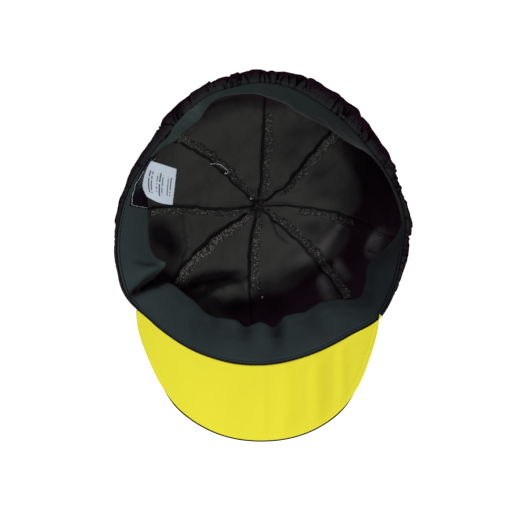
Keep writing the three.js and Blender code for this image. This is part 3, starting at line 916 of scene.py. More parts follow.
def thread_material(name, light, dark, sheen=0.0, pale=0.5, specular=0.5):
    """Twisted thread, lighter and darker from one turn to the next, partly its twist and partly painted
    highlights, and dark at the meeting point.
    """
    if name in bpy.data.materials:
        return bpy.data.materials[name]
    material, nodes = new_material(name)
    place = nodes.add("ShaderNodeTexCoord").outputs["Object"]
    broad = nodes.noise(place, 900, 2, 0.6)
    fine = nodes.noise(place, 2600, 2, 0.6)
    middle = (*((OPENING + MEETING_POINT) * MM), 0.001)
    away = nodes.add("ShaderNodeVectorMath", {0: place, 1: middle}, operation="DISTANCE").outputs["Value"]
    clear = nodes.math("MULTIPLY_ADD", nodes.step(away, *KNOT_SHADE_REACH), 0.75, 0.25)
    twist = nodes.math("MULTIPLY_ADD", fine, 0.3, nodes.math("MULTIPLY", broad, 0.7))
    # Lighter speckles: partly the thread's twist, partly painted highlights where its turns catch the light
    lit = nodes.step(twist, 0.58 - 0.14 * pale, 0.66 - 0.14 * pale)
    bump = nodes.add("ShaderNodeBump", {"Height": fine, "Distance": 0.00008})
    nodes.shader({
        "Base Color": nodes.colour(nodes.math("MULTIPLY", lit, clear), (*dark, 1.0), (*light, 1.0)),
        "Roughness": nodes.math("MULTIPLY_ADD", fine, 0.2, 0.6),
        "Specular IOR Level": specular,
        "Sheen Weight": sheen,
        "Normal": bump.outputs[0],
    })
    return material


def outside_cloth():
    """Black twill, with painted shade on its upright wall and in its creases."""
    # Its own tone is a lighter grey that stands in for highlights near the rim; its purple-black and black
    # tones are painted shade
    return cloth_material(
        "black crown cloth", tuple(bpy.context.scene.cap_crown.outside_colour), 0.0009, 0.00045, rough=0.6,
        specular=0.0, tint=(0.013, 0.011, 0.014),
        shaded=(("outer_shade", (0.0095, 0.0034, 0.0070)), ("crease_shade", (0.0012, 0.0008, 0.0010)))
    )


def inside_cloth():
    """The inside of the twill: charcoal, with painted shadow on its walls, painted light on lit ridges and
    painted shade in grooves.
    """
    return cloth_material(
        "charcoal crown inside", tuple(bpy.context.scene.cap_crown.inside_colour), 0.0013, 0.0006,
        specular=0.1,
        shaded=(
            ("wall_shade", (0.0095, 0.0028, 0.0082)),
            ("ridge_shade", (0.080, 0.076, 0.080)),
            ("cloth_shade", (0.0030, 0.0014, 0.0030)),
        )
    )


def overlocked_edge():
    """The dark cut cloth under the overlock threads."""
    return cloth_material(
        "overlocked cloth edge", (0.007, 0.006, 0.007), 0.0011, 0.0008, contrast=0.7, depth=0.0003
    )


def overlock_thread(pale):
    """Charcoal thread, in one of a few tones from dark to pale."""
    light = tuple(c * mix(0.7, 1.0, pale) for c in (0.29, 0.285, 0.265))
    # Its light tone is partly painted highlight, and its dark tone between turns partly painted shade
    dark = tuple(c * 0.06 for c in light)
    return thread_material(f"overlock thread {round(10 * pale)}", light, dark, pale=pale)


def knot_thread():
    return thread_material("knot thread", (0.30, 0.28, 0.30), (0.006, 0.003, 0.005), pale=0.3, specular=0.2)


def white_thread():
    return thread_material("white thread", (0.75, 0.77, 0.77), (0.4, 0.42, 0.42), sheen=0.2)


def black_thread():
    return thread_material("black hem thread", (0.008, 0.006, 0.008), (0.003, 0.002, 0.003), specular=0.0)


# The rows of a panel: t across the flat, up the shoulder and the wall, then over the rolled rim by its
# turn and its tail
PANEL_ROWS = np.concatenate([np.linspace(0, 1, 31)[:-1], np.linspace(1, 2, 47)[:-1], np.linspace(2, 3, 39)])
ROLL_TURNS = np.concatenate([np.linspace(0, math.pi, ROLL_ROWS + 1)[1:], np.full(3, math.pi)])
ROLL_TAILS = np.concatenate([np.zeros(ROLL_ROWS), np.linspace(0, ROLL_TAIL, 4)[1:]])
LAST_ROW = len(PANEL_ROWS) + len(ROLL_TURNS) - 1


def panel_point(index, u, v):
    """A panel's points and cloth coordinates, from seam to seam and from the meeting point over the rim."""
    row = np.rint(v * LAST_ROW).astype(int)
    on_roll = row >= len(PANEL_ROWS)
    t = PANEL_ROWS[np.minimum(row, len(PANEL_ROWS) - 1)]
    first, second = seam_angle(index, t), seam_angle(index + 1, t)
    angle = mix(first, second, u)
    t = np.minimum(t, mix(t, rim_top(angle), smooth((t - 2.8) / 0.2)))
    step = np.clip(row - len(PANEL_ROWS), 0, len(ROLL_TURNS) - 1)
    rolled = rolled_rim(angle, ROLL_TURNS[step], ROLL_TAILS[step])
    points = np.where(on_roll[:, None], rolled, cloth(angle, t))
    middle = (seam_angle(index, 1.0) + seam_angle(index + 1, 1.0)) / 2
    across = np.radians((u - 0.5) * (second - first)) * section(angle, t)[0]
    along = run(t) + np.where(on_roll, (ROLL_TURNS * ROLL_RADIUS + ROLL_TAILS)[step], 0)
    grain = np.radians(middle - RIB_ANGLES[index])
    ribs = [along * np.sin(grain) + across * np.cos(grain), along * np.cos(grain) - across * np.sin(grain)]
    shades = (*inside_shades(angle, t, crown(angle, t)), *outside_shades(angle, t))
    return points, np.stack(ribs, axis=-1), *shades


def panel_cut(index):
    """A panel's flat width and length with its allowances and hem, and its flat area, in metres."""
    t = np.linspace(0, 3, 121)
    first, second = seam_angle(index, t), seam_angle(index + 1, t)
    widths = np.radians(second - first) * section((first + second) / 2, t)[0] + 2 * SEAM_ALLOWANCE
    length = run(3.0) + RIM_HEM
    area = np.trapz(widths, run(t)) + widths[-1] * RIM_HEM
    return (widths.max() * MM, length * MM), area * MM * MM


def sew_panel(index):
    """One crown panel, its edges turned in along its seams and its top rolled over the rim."""
    settings = bpy.context.scene.cap_crown
    first, second = seam_angle(index, 3.0), seam_angle(index + 1, 3.0)
    gathered = gather_depth((first + second) / 2) > 0.5
    columns = round((second - first) * settings.columns_per_degree * (2 if gathered else 1))
    name = f"crown_panel_{index + 1}_cloth"
    mesh = sheet_mesh(name, columns, LAST_ROW, lambda u, v: panel_point(index, u, v))
    panel = thicken(link(name, mesh, [outside_cloth(), inside_cloth()]), settings.cloth_thickness)
    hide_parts(f"crown_panel_{index + 1}")
    flat, area = panel_cut(index)


STRIP_COLUMNS = 10
STRIP_STEP = 1.3
STRIP_CLOTH = 0.0006


def strip_height(across):
    """The overlocked strip's height across it, from its seam side to its free edge."""
    return 1.1 * np.clip(1 - np.abs(2 * across - 1) ** 5, 0, 1) ** 0.6


def strip_line(index, step):
    """Places along a seam's strip: t and width, a step of cloth apart."""
    seam = SEAMS[index]
    ends = run(seam["start"]), run(seam["end"])
    runs = np.linspace(*ends, max(int((ends[1] - ends[0]) / step), 2))
    t = np.interp(runs, run(np.linspace(0, 3, 600)), np.linspace(0, 3, 600))
    width = mix(seam["tip_width"], seam["width"], smooth((runs - ends[0]) / 26))
    width = width * (1 + 0.1 * np.sin(runs / 4.3 + 2 * index) + 0.06 * np.sin(runs / 1.7 + index))
    return t, width


def on_strip(index, t, width, across, height):
    """Points above the inside of the crown beside a seam."""
    seam = SEAMS[index]
    offset = seam["side"] * (0.2 + 0.3 * seam["groove"] + across * width)
    angle = aside(seam_angle(index, t), t, offset)
    return cloth(angle, t, bpy.context.scene.cap_crown.cloth_thickness / MM + height)


def sew_strip(index):
    """One overlocked seam allowance: its pressed cloth and the looped threads over it."""
    settings = bpy.context.scene.cap_thread
    t, width = strip_line(index, STRIP_STEP)
    side = SEAMS[index]["side"]

    def place(u, v):
        across = u if side > 0 else 1 - u
        row = np.rint(v * (len(t) - 1)).astype(int)
        height = (0.1 + strip_height(across)) * smooth(np.minimum(v, 1 - v) * 30)
        points = on_strip(index, t[row], width[row], across, height)
        return points, np.stack([across * width[row], run(t[row])], axis=-1)

    name = f"seam_allowance_{index + 1}"
    mesh = sheet_mesh(f"{name}_cloth", STRIP_COLUMNS, len(t) - 1, place)
    mesh.flip_normals()
    strip = thicken(link(f"{name}_cloth", mesh, [overlocked_edge()]), STRIP_CLOTH)
    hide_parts(name)
    pitch = settings.stitch_pitch / MM
    runs = [looper(index, pitch, 0.0), looper(index, pitch, 0.5), needle_line(index, pitch)]
    thread = overlock_thread(SEAMS["pale"][index])
    thread_piece(f"{name}_threads", runs, settings.thread_radius, thread)


# A looper thread's way through one stitch: share of the pitch, share of the strip's width, and lift
LOOP = table(
    "along across up",
    (0.00, 0.10, 0.10),
    (0.22, 0.52, 0.22),
    (0.42, 0.94, 0.20),
    (0.52, 1.05, -0.45),
    (0.62, 0.92, 0.20),
    (0.80, 0.50, 0.26),
)


def looper(index, pitch, shift):
    """A looper thread that crosses the strip and turns round its free edge at each stitch."""
    dice = np.random.default_rng(100 * index + round(10 * shift))
    t, width = strip_line(index, pitch)
    stitches = len(t) - 1
    loop = np.tile(np.arange(len(LOOP)), stitches)
    stitch = np.repeat(np.arange(stitches), len(LOOP)) + shift + LOOP["along"][loop]
    stitch = np.clip(stitch + dice.normal(0, 0.08, len(stitch)), 0, stitches)
    across = LOOP["across"][loop] + dice.normal(0, 0.04, len(stitch))
    up = LOOP["up"][loop] + dice.normal(0, 0.1, len(stitch))
    places = np.arange(stitches + 1)
    here_t, here_width = np.interp(stitch, places, t), np.interp(stitch, places, width)
    height = np.maximum(strip_height(np.clip(across, 0, 1)) + up, 0.15)
    return on_strip(index, here_t, here_width, across, height)


def needle_line(index, pitch):
    """The needle thread's line of stitches near the seam."""
    dice = np.random.default_rng(500 + index)
    t, width = strip_line(index, pitch / 3)
    turn = np.arange(len(t)) * 2 * math.pi / 3
    across = 0.2 + 0.04 * np.sin(turn) + dice.normal(0, 0.02, len(t))
    height = strip_height(across) + 0.12 + 0.18 * np.cos(turn)
    return on_strip(index, t, width, across, height)


# The round eye in the knot, measured from the meeting point, the width of the coil round it, how high
# the lump stands, and how many loops of thread lie over it
KNOT_EYE = np.array([2.9, 3.2])
KNOT_COIL = 2.3
KNOT_RISE = 2.6
KNOT_LOOPS = 18


def knot_loop(dice, loop, radius):
    """One loop of thread over the knot, measured from the meeting point."""
    size = dice.uniform(0.8, 3.4)
    middle = KNOT_EYE * (1 - size / 4.5) + dice.normal(0, 1.2, 2)
    turns = np.linspace(0, dice.uniform(0.8, 2.2) * math.pi * 2, 30) + loop
    x = middle[0] + size * np.cos(turns) * (1 + 0.2 * np.sin(2.3 * turns + loop))
    y = middle[1] + size * 0.8 * np.sin(turns * 1.03) + 0.3 * np.sin(3.1 * turns)
    far = np.hypot(x, y) / radius
    z = 2.7 * np.sqrt(np.clip(1 - far**2, 0.02, 1)) + 0.4 + 0.35 * np.sin(turns * 1.9 + loop)
    return np.stack([x, y, z], axis=-1)


def tie_knot():
    """The lumpy knot of cloth ends and thread over the meeting point."""
    settings = bpy.context.scene.cap_thread
    radius = settings.knot_radius / MM
    centre = np.array([*(OPENING + MEETING_POINT), bpy.context.scene.cap_crown.cloth_thickness / MM])
    lump = bmesh.new()
    bmesh.ops.create_icosphere(lump, subdivisions=5, radius=1.0)
    mesh = mesh_of("seam_knot_cloth", lump)
    ball = mesh_points(mesh)
    turn = np.arctan2(ball[:, 1], ball[:, 0])
    spokes = sum(hill(np.sin((turn - math.radians(seam["inner"])) / 2) * 2, 0.2) for seam in SEAMS)
    reach = radius * (0.66 + 0.34 * spokes + 0.12 * wander(ball, 0.9, 41))
    rise = KNOT_RISE * (1 + 0.3 * wander(ball, 0.5, 42))
    shape = np.stack([ball[:, 0] * reach, ball[:, 1] * reach, np.maximum(ball[:, 2], -0.1) * rise], axis=-1)
    from_eye = norm(shape[:, :2] - KNOT_EYE)
    coil = np.cos(2 * math.pi * from_eye / KNOT_COIL) * hill(from_eye, 4.0)
    shape[:, 2] += (0.35 * wander(ball, 0.22, 43) + 1.1 * coil) * np.clip(ball[:, 2], 0, 1)
    mesh.vertices.foreach_set("co", ((shape + centre) * MM).ravel())
    mesh.uv_layers.new(name="cloth")
    mesh.shade_smooth()
    knot = link("seam_knot_cloth", mesh, [overlocked_edge()])
    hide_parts("seam_knot")
    dice = np.random.default_rng(77)
    runs = [knot_loop(dice, loop, radius) + centre for loop in range(KNOT_LOOPS)]
    thread_piece("seam_knot_threads", runs, settings.thread_radius, knot_thread())


# The band's rows of faces over its sewn top, below that, and round its folded edge, how far that edge
# curls, and the radius that its cloth coordinates are measured at
BAND_ROWS_AT_TOP = 15
BAND_ROWS_BELOW = 24
BAND_ROWS_ROUND = 4
BAND_CURL = 0.8
BAND_RADIUS = 82


def band_place(u, v):
    """The band's points and cloth coordinates round the opening and down, and its painted shade and light."""
    angle = u * 360
    row = np.rint(v * (BAND_ROWS_AT_TOP + BAND_ROWS_BELOW + BAND_ROWS_ROUND))
    width = band_down(angle)
    top_end = BAND_TOP["down"][-1]
    below = mix(top_end, width, np.clip((row - BAND_ROWS_AT_TOP) / BAND_ROWS_BELOW, 0, 1))
    down = np.where(row <= BAND_ROWS_AT_TOP, row / BAND_ROWS_AT_TOP * top_end, below)
    curl = np.clip((row - BAND_ROWS_AT_TOP - BAND_ROWS_BELOW) / BAND_ROWS_ROUND, 0, 1) * math.pi * 0.9
    down = down + BAND_CURL * np.sin(curl)
    points = band(angle, down, -BAND_CURL * (1 - np.cos(curl)))
    # Painted shade along the band's creases, and painted light where a fold's shade is negative
    shade = folded(band_root(angle) + band_slope(angle) * down[..., None], BAND_FOLDS, "shade")
    side = 1 - 0.9 * smooth((ROLL_RADIUS - roll_radius(angle)) / 0.25)
    # Painted shade in the stitched groove (less over the peak), in the line under the rolled rim, and along
    # the loose edge's curl
    grooves = side * 0.8 * hill(down - 2.3, 0.5) + hill(down, 0.4) + 0.85 * hill(down - width - 0.4, 1.0)
    # Painted shade by angle round the band
    light = (1 - np.clip(shade, 0, 1)) * (1 - between(BAND_SHADE, "share", angle))
    light = light * (1 - np.clip(grooves, 0, 0.95))
    threads = np.stack([np.radians(angle) * BAND_RADIUS, down + curl], axis=-1)
    return points, threads, 1 - light, np.zeros_like(u), np.clip(-shade, 0, 1)


def sew_band():
    """The head band: a sewn ridge and a stitched groove along its top, and a loose folded edge."""
    settings = bpy.context.scene.cap_band
    # Its pale ridge tone is painted light on the turned-out edge and a lit fold at the back left; its dark
    # tone is painted shade
    green = cloth_material(
        "dark green band cloth", tuple(settings.colour), 0.0007, 0.0007,
        sheen=0.05, contrast=0.3, depth=0.00005, blotch=0.5, tint=(0.016, 0.024, 0.030), specular=0.1,
        shaded=(("ridge_shade", (0.062, 0.086, 0.083)), ("cloth_shade", (0.004, 0.0025, 0.004)))
    )
    rows = BAND_ROWS_AT_TOP + BAND_ROWS_BELOW + BAND_ROWS_ROUND
    mesh = sheet_mesh("head_band_cloth", settings.columns, rows, band_place, closed=True)
    piece = thicken(link("head_band_cloth", mesh, [green]), settings.thickness)
    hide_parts("head_band")


# A rim stitch from where it goes in to where it comes out: share of the pitch, and how far it stands out
STITCH_SHARE = np.array([0.0, 0.12, 0.5, 0.88, 1.0]) * 0.78
STITCH_HEIGHT = np.array([-0.5, 0.02, 0.16, 0.02, -0.5])
# How far below the rim the band's stitches and the hem's lie, and the radius that they are spaced at
BAND_STITCHES_DOWN = 2.45
HEM_STITCHES_DOWN = 3.6
STITCH_RADIUS = 90
HEM_THREAD = 0.00022


def sew_rim_stitches():
    """Two rows of stitches along the rim: in the band's groove, and on the outside of the hem."""
    pitch = math.degrees(bpy.context.scene.cap_thread.rim_stitch_pitch / MM / STITCH_RADIUS)
    inner, outer = [], []
    for angle in np.arange(0, 360, pitch):
        place = angle + STITCH_SHARE * pitch
        if not PEAK_ROOT_ANGLES[0] - 3 < angle < PEAK_ROOT_ANGLES[1] + 2:
            inner.append(band(place, np.full(len(place), BAND_STITCHES_DOWN), STITCH_HEIGHT + 0.1))
            outer.append(cloth(place, 3 - HEM_STITCHES_DOWN / WALL_RUN, -STITCH_HEIGHT))
    thread_piece("rim_stitches", inner + outer, HEM_THREAD, black_thread())


# The peak's grid of faces, with the rows that curl round its edge, the size of its cloth coordinates,
# and the thickness of its cloth in metres
PEAK_COLUMNS, PEAK_ROWS, PEAK_CURL_ROWS = 150, 44, 8
PEAK_CLOTH_SIZE = (158, 62)
PEAK_CLOTH = 0.0006


def peak_threads(u, out, beyond=0.0):
    """The peak's cloth coordinates."""
    return np.stack([u * PEAK_CLOTH_SIZE[0], out * PEAK_CLOTH_SIZE[1] + beyond], axis=-1)


def peak_under_place(u, v):
    """The yellow under layer, and its painted shade along its ripples and away from its left edge."""
    points = peak(u, v)
    # Painted shade along the ripples, and a little more towards the right
    shade = peak_ripples(points[..., 0], "shade") * smooth((1.15 - v) / 0.5) + 0.05 * smooth(u * 2.5 - 0.3)
    return points, peak_threads(u, v), shade


def peak_top_place(u, v):
    """The black top layer, which curls up round the edge at the tip and stays inside it at the sides."""
    row = np.rint(v * (PEAK_ROWS + PEAK_CURL_ROWS))
    out = np.clip(row / PEAK_ROWS, 0, 1)
    curl = np.clip((row - PEAK_ROWS) / PEAK_CURL_ROWS, 0, 1) * math.pi
    at_tip = smooth((u - 0.17) / 0.12) * smooth((0.83 - u) / 0.12)
    below = PEAK_THICKNESS * (1 + np.cos(curl)) / 2 + mix(0.5, -0.2, at_tip) * (1 - np.cos(curl)) / 2
    points = peak(1 - u, out, below, mix(-0.9, PEAK_CURL * np.sin(curl), at_tip))
    bare = np.zeros_like(u)
    # The outer tone at 0.9 all over gives this black layer the outside cloth's dark tone evenly, not its lit
    # grey
    return points, peak_threads(u, out, curl), bare, bare, bare, bare + 0.9


def sew_peak():
    """The peak: its yellow under layer, and the black top layer whose edge curls up round it."""
    settings = bpy.context.scene.cap_peak
    # The yellow's shaded tone is its painted shade along the ripples
    yellow = cloth_material(
        "yellow peak cloth", tuple(settings.colour), 0.00055, 0.00055, rough=0.75,
        contrast=0.12, specular=0.1, depth=0.00004, blotch=0.25, tint=(0.69, 0.65, 0.034),
        shaded=(("cloth_shade", (0.42, 0.36, 0.0)),)
    )
    mesh = sheet_mesh("peak_under_cloth", PEAK_COLUMNS, PEAK_ROWS, peak_under_place)
    under = thicken(link("peak_under_cloth", mesh, [yellow]), PEAK_CLOTH)
    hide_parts("peak_under")
    mesh = sheet_mesh("peak_top_cloth", PEAK_COLUMNS, PEAK_ROWS + PEAK_CURL_ROWS, peak_top_place)
    top = thicken(link("peak_top_cloth", mesh, [outside_cloth()]), PEAK_CLOTH)
    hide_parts("peak_top")


# The label's dashes in metres: the spacing of their rows, the length of a cell of a row, the middle of
# what they fill, and its half width across the rows
DASH_ROW, DASH_CELL = 0.0017, 0.0009
DASH_MIDDLE = (0.0108, 0.0122)
DASH_HALF_WIDTH = 0.0080


def label_material():
    """White satin with faint rows of plain dashes, each of its own length, and every fourth one bare."""
    material, nodes = new_material("white label satin")
    threads = nodes.add("ShaderNodeUVMap", uv_map="cloth").outputs[0]
    place = nodes.add("ShaderNodeSeparateXYZ", {"Vector": threads}).outputs
    rows = nodes.math("DIVIDE", place["X"], DASH_ROW)
    row = nodes.math("FLOOR", rows)
    cell = nodes.math("FLOOR", nodes.math("DIVIDE", place["Y"], DASH_CELL))
    seed = nodes.add("ShaderNodeCombineXYZ", {"X": row, "Y": cell}).outputs[0]
    of_cell = nodes.add("ShaderNodeTexWhiteNoise", {"Vector": seed}, noise_dimensions="2D").outputs[0]
    of_row = nodes.add("ShaderNodeTexWhiteNoise", {"W": row}, noise_dimensions="1D").outputs[0]
    thick = nodes.math("MULTIPLY_ADD", of_row, 0.16, 0.13)
    half_length = nodes.math("MULTIPLY_ADD", of_row, 0.0030, 0.0044)
    dash = nodes.math("MULTIPLY_ADD", of_row, 0.35, 0.65)
    for inside in (
        nodes.math("GREATER_THAN", of_cell, 0.2),
        nodes.math("GREATER_THAN", nodes.math("MODULO", row, 4), 0.5),
        nodes.math("COMPARE", nodes.math("FRACT", rows), 0.5, thick),
        nodes.math("COMPARE", place["X"], DASH_MIDDLE[0], DASH_HALF_WIDTH),
        nodes.math("COMPARE", place["Y"], DASH_MIDDLE[1], half_length),
    ):
        dash = nodes.math("MULTIPLY", dash, inside)
    weave = nodes.add("ShaderNodeGroup", node_tree=weave_group())
    for label, value in (("Vector", threads), ("Rib Spacing", 0.00045), ("Thread Spacing", 0.0003)):
        nodes.put(weave.inputs[label], value)
    satin = nodes.colour(weave.outputs["Gap"], (0.49, 0.575, 0.64, 1.0), (0.36, 0.43, 0.49, 1.0))
    bump = nodes.add("ShaderNodeBump", {"Height": weave.outputs["Height"], "Distance": 0.00003})
    nodes.shader({
        "Base Color": nodes.colour(dash, satin, (0.07, 0.085, 0.13, 1.0)),
        "Roughness": 0.5,
        "Specular IOR Level": 0.2,
        "Normal": bump.outputs[0],
    })
    return material


# The tag's and the label's seen sizes, and how far the label bows
TAG_SIZE = (31, 24)
LABEL_SIZE = (20.5, 23.4)
LABEL_BOW = 2.2


def tag_place(u, v):
    """The tag's points on the band, along it and across."""
    angle = mix(TAG_ANGLES[0], TAG_ANGLES[1], u)
    across = mix(mix(TAG_ACROSS[0], TAG_ACROSS[1], u), TAG_ACROSS[2], v)
    stand = 1.1 + 0.35 * np.sin(math.pi * u) + 0.25 * np.sin(9 * v + 4 * u)
    threads = np.stack([u * TAG_SIZE[0], v * TAG_SIZE[1]], axis=-1)
    return band(angle, across * band_down(angle), stand), threads


def label_place(u, v):
    """The label's points, along its root and out to its free edge."""
    root_top, root_foot, free_foot, free_top = np.stack([LABEL_CORNERS[name] for name in "xyz"], axis=-1)
    points = mix(mix(root_top, root_foot, u[:, None]), mix(free_top, free_foot, u[:, None]), v[:, None])
    frayed = 0.18 * wander(np.stack([u * 23, v], axis=-1), 1.6, 51) * (v < 0.01)
    points[:, 0] += frayed - 3.9 * np.sin(math.pi * u) ** 0.8 * (1 - v)
    points[:, 1] -= 1.3 * np.sin(math.pi * v) * u
    points[:, 2] += LABEL_BOW * np.sin(math.pi * v) * (0.7 + 0.3 * u) + 0.5 * np.sin(5 * u + 2) * v
    return points, np.stack([v * LABEL_SIZE[0], u * LABEL_SIZE[1]], axis=-1)


def sew_labels():
    """The black tag on the band, and the white care label that hangs from it."""
    settings = bpy.context.scene.cap_label
    satin = cloth_material(
        "black tag satin", (0.003, 0.003, 0.007), 0.0004, 0.0003, rough=0.5, depth=0.00003, specular=0.15
    )
    mesh = sheet_mesh("side_tag_ribbon", 48, 36, tag_place)
    tag = thicken(link("side_tag_ribbon", mesh, [satin]), settings.thickness)
    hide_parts("side_tag")
    mesh = sheet_mesh("care_label_ribbon", 46, 40, label_place)
    label = thicken(link("care_label_ribbon", mesh, [label_material()]), settings.thickness)
    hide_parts("care_label")


def tag_threads():
    """The stitches down the tag's lower end, the thread along its edge, and a short end at its top."""
    angle = TAG_ANGLES[1] - 0.5
    width = float(band_down(np.array([angle]))[0])
    runs = []
    for start in np.arange(0.24, 0.9, 0.115):
        down = np.linspace(start, start + 0.075, 4) * width
        runs.append(band(np.full(4, angle), down, np.array([1.2, 1.8, 1.8, 1.2])))
    edge = np.linspace(0, len(TAG_THREAD) - 1, 16)
    steps = np.arange(len(TAG_THREAD))
    turn, across = (np.interp(edge, steps, TAG_THREAD[name]) for name in ("angle", "across"))
    runs.append(band(turn, across * band_down(turn) + 0.5 * np.sin(edge * 4), 1.8 + 0.4 * np.sin(edge * 3)))
    short = np.linspace(0, 1, 6)
    runs.append(band(mix(151, 149.4, short), mix(0.3, 0.14, short) * width, 1.6 + 1.6 * short))
    return runs


def loose_threads():
    """The thread end and the specks of lint left on the crown."""
    angles, ts = np.array([crown_at(x, y) for x, y in LOOSE_THREAD]).T
    fine = np.linspace(0, len(ts) - 1, 30)
    steps = np.arange(len(ts))
    runs = [cloth(np.interp(fine, steps, angles), np.interp(fine, steps, ts), 2.9 + 0.3 * np.sin(fine * 3))]
    for x, y in LINT:
        angle, t = crown_at(x, y)
        curl = np.linspace(0, 5, 9)
        place = cloth(np.full(9, angle), np.full(9, t), 2.4 + 0.5 * np.sin(curl))
        runs.append(place + np.stack([0.5 * np.cos(curl), 0.5 * np.sin(curl), 0 * curl], axis=-1))
    return runs


def sew_white_threads():
    """The white stitches that hold the tag and label, and the thread ends left on the cap."""
    thread_piece("tag_threads", tag_threads(), 0.00011, white_thread())
    thread_piece("loose_threads", loose_threads(), 0.0002, white_thread())


def bright_floor():
    """A white floor that glows a little, as on a lit table."""
    material, nodes = new_material("white floor")
    nodes.shader({
        "Base Color": (0.3, 0.3, 0.3, 1.0),
        "Roughness": 0.9,
        "Specular IOR Level": 0.0,
        "Emission Color": (1.0, 1.0, 1.0, 1.0),
        "Emission Strength": 0.93,
    })
    return material


def area_light(name, azimuth, elevation, size, power, colour, distance=1.6):
    """A soft square light that shines on the cap."""
    lamp = bpy.data.lights.new(name, "AREA")
    lamp.size = size
    lamp.energy = power
    lamp.color = colour
    piece = bpy.data.objects.new(name, lamp)
    bpy.context.scene.collection.objects.link(piece)
    turn, rise = math.radians(azimuth), math.radians(elevation)
    direction = (math.cos(turn) * math.cos(rise), math.sin(turn) * math.cos(rise), math.sin(rise))
    piece.location = [c * distance for c in direction]
    piece.rotation_euler = piece.location.to_track_quat("Z", "Y").to_euler()


def set_stage():
    """The pale floor, the lights and the camera that looks straight down."""
    settings = bpy.context.scene.cap_stage
    scene = bpy.context.scene
    grid = bmesh.new()
    bmesh.ops.create_grid(grid, x_segments=1, y_segments=1, size=settings.floor_size / 2)
    mesh = mesh_of("floor", grid)
    mesh.materials.append(bright_floor())
    floor = bpy.data.objects.new("floor", mesh)
    scene.collection.objects.link(floor)
    world = bpy.data.worlds.new("studio")
    world.use_nodes = True
    nodes = Tree(world.node_tree)
    dome = {"Color": (1.0, 0.76, 1.0, 1.0), "Strength": settings.dome_strength}
    sky = nodes.add("ShaderNodeBackground", dome)
    nodes.add("ShaderNodeOutputWorld", {"Surface": sky.outputs[0]})
    scene.world = world
    area_light("key light", -50, 61, size=0.25, power=settings.key_power, colour=(0.98, 1.0, 0.96))
    area_light("fill light", 128, 42, size=0.7, power=settings.fill_power, colour=(1.0, 0.97, 1.0))
    camera_data = bpy.data.cameras.new("camera")
    camera_data.sensor_width = 36
    camera_data.lens = settings.lens
    camera = bpy.data.objects.new("camera", camera_data)
    camera.location = settings.camera_place
    scene.collection.objects.link(camera)
    scene.camera = camera
    scene.view_settings.view_transform = "Standard"
    scene.view_settings.look = "None"


def number(name, description, default, unit="NONE"):
    """A setting that is one number."""
    return FloatProperty(name=name, description=description, default=default, unit=unit)


def length(name, description, default):
    """A setting that is a length in metres."""
    return number(name, description, default, "LENGTH")


def cut_size(name, description, default):
    """A setting that is the flat size of a piece of cloth."""
    return FloatVectorProperty(name=name, description=description, default=default, size=2, unit="LENGTH")


def tone(name, description, default):
    """A setting that is a colour."""
    return FloatVectorProperty(name=name, description=description, default=default, subtype="COLOR")


class CapCrownSettings(bpy.types.PropertyGroup):
    cloth_thickness: length("Cloth", "Thickness of the crown cloth", 0.0009)
    seam_dip: length("Seam dip", "How far the seams are drawn in", 0.0008)
    seam_pucker: length("Seam pucker", "Height of the puckers beside a seam", 0.0004)
    softness: length("Softness", "Height of the soft waves of the cloth", 0.0014)
    columns_per_degree: number("Columns", "Columns of faces to a degree", 1.35)
    # The outside's tone is a lighter grey that stands in for highlights near the rim; painted shade darkens
    # it elsewhere
    outside_colour: tone("Outside", "Colour of the crown's outside", (0.0185, 0.0205, 0.0215))
    inside_colour: tone("Inside", "Colour of the crown's inside", (0.0355, 0.0355, 0.0345))


class CapBandSettings(bpy.types.PropertyGroup):
    thickness: length("Thickness", "Thickness of the band cloth", 0.0007)
    columns: IntProperty(name="Columns", description="Columns of faces round the band", default=560)
    cut: cut_size("Cut", "Flat length and width", (0.58, 0.034))
    colour: tone("Colour", "Colour of the band", (0.027, 0.0435, 0.0415))


class CapPeakSettings(bpy.types.PropertyGroup):
    cut: cut_size("Cut", "Flat width and length", (0.168, 0.090))
    cut_area: number("Cut area", "Flat area of the top layer", 0.0086, "AREA")
    under_area: number("Under area", "Flat area of the under layer", 0.0076, "AREA")
    colour: tone("Under colour", "Colour under the peak", (0.665, 0.648, 0.031))


class CapThreadSettings(bpy.types.PropertyGroup):
    stitch_pitch: length("Overlock pitch", "Distance between overlock stitches", 0.0015)
    thread_radius: length("Thread radius", "Radius of the overlock thread", 0.00017)
    knot_radius: length("Knot radius", "Radius of the knot where the seams meet", 0.0070)
    rim_stitch_pitch: length("Rim pitch", "Distance between rim stitches", 0.003)


class CapLabelSettings(bpy.types.PropertyGroup):
    tag_cut: cut_size("Tag", "Flat length and width of the tag", (0.034, 0.028))
    label_cut: cut_size("Label", "Flat width and length of the label", (0.0205, 0.0240))
    thickness: length("Ribbon", "Thickness of the tag and label", 0.0003)


class CapStageSettings(bpy.types.PropertyGroup):
    floor_size: length("Floor", "Width of the floor", 60.0)
    dome_strength: number("Dome", "Strength of the light from all round", 0.25)
    key_power: number("Key", "Power of the key light", 21.0, "POWER")
    fill_power: number("Fill", "Power of the fill light", 12.0, "POWER")
    lens: number("Lens", "Focal length of the camera", 72.5, "CAMERA")
    camera_place: FloatVectorProperty(
        name="Camera", description="Place of the camera", default=(-0.00506, -0.0030, 0.75),
        subtype="TRANSLATION"
    )


class CAP_OT_panels(bpy.types.Operator):
    """Sew the eight crown panels"""

    bl_idname = "cap.sew_panels"
    bl_label = "Crown panels"

    def execute(self, context):
        for index in range(len(SEAMS)):
            sew_panel(index)
        return {"FINISHED"}


class CAP_OT_strips(bpy.types.Operator):
    """Sew the overlocked seam allowances"""

    bl_idname = "cap.sew_strips"
    bl_label = "Seam allowances"

    def execute(self, context):
        for index in range(len(SEAMS)):
            sew_strip(index)
        return {"FINISHED"}


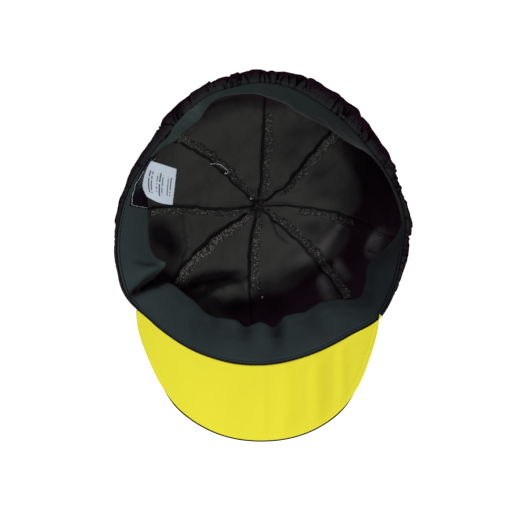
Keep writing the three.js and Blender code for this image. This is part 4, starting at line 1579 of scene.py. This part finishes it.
class CAP_OT_knot(bpy.types.Operator):
    """Tie the knot where the seams meet"""

    bl_idname = "cap.tie_knot"
    bl_label = "Seam knot"

    def execute(self, context):
        tie_knot()
        return {"FINISHED"}


class CAP_OT_band(bpy.types.Operator):
    """Sew the head band and the stitches along the rim"""

    bl_idname = "cap.sew_band"
    bl_label = "Head band"

    def execute(self, context):
        sew_band()
        sew_rim_stitches()
        return {"FINISHED"}


class CAP_OT_peak(bpy.types.Operator):
    """Sew the peak's two layers"""

    bl_idname = "cap.sew_peak"
    bl_label = "Peak"

    def execute(self, context):
        sew_peak()
        return {"FINISHED"}


class CAP_OT_labels(bpy.types.Operator):
    """Sew the tag, the care label and the white threads"""

    bl_idname = "cap.sew_labels"
    bl_label = "Labels"

    def execute(self, context):
        sew_labels()
        sew_white_threads()
        return {"FINISHED"}


class CAP_OT_stage(bpy.types.Operator):
    """Set the floor, the lights and the camera"""

    bl_idname = "cap.set_stage"
    bl_label = "Stage"

    def execute(self, context):
        set_stage()
        return {"FINISHED"}


OPERATORS = (CAP_OT_stage, CAP_OT_panels, CAP_OT_strips, CAP_OT_knot, CAP_OT_band, CAP_OT_peak, CAP_OT_labels)
SETTINGS = {
    "cap_crown": CapCrownSettings,
    "cap_band": CapBandSettings,
    "cap_peak": CapPeakSettings,
    "cap_thread": CapThreadSettings,
    "cap_label": CapLabelSettings,
    "cap_stage": CapStageSettings,
}


class CAP_PT_sewing(bpy.types.Panel):
    """The cap's pieces and their sizes"""

    bl_label = "Cycling cap"
    bl_idname = "CAP_PT_sewing"
    bl_space_type = "VIEW_3D"
    bl_region_type = "UI"
    bl_category = "Cap"

    def draw(self, context):
        for operator in OPERATORS:
            self.layout.operator(operator.bl_idname)
        for name, kind in SETTINGS.items():
            box = self.layout.box()
            for label in kind.__annotations__:
                box.prop(getattr(context.scene, name), label)


def register():
    for kind in (*SETTINGS.values(), *OPERATORS, CAP_PT_sewing):
        bpy.utils.register_class(kind)
    for name, kind in SETTINGS.items():
        setattr(bpy.types.Scene, name, PointerProperty(type=kind))


def unregister():
    for name in SETTINGS:
        delattr(bpy.types.Scene, name)
    for kind in reversed((*SETTINGS.values(), *OPERATORS, CAP_PT_sewing)):
        bpy.utils.unregister_class(kind)


def main():
    register()
    bpy.ops.cap.set_stage()
    bpy.ops.cap.sew_panels()
    bpy.ops.cap.sew_strips()
    bpy.ops.cap.tie_knot()
    bpy.ops.cap.sew_band()
    bpy.ops.cap.sew_peak()
    bpy.ops.cap.sew_labels()


if __name__ == "__main__":
    main()
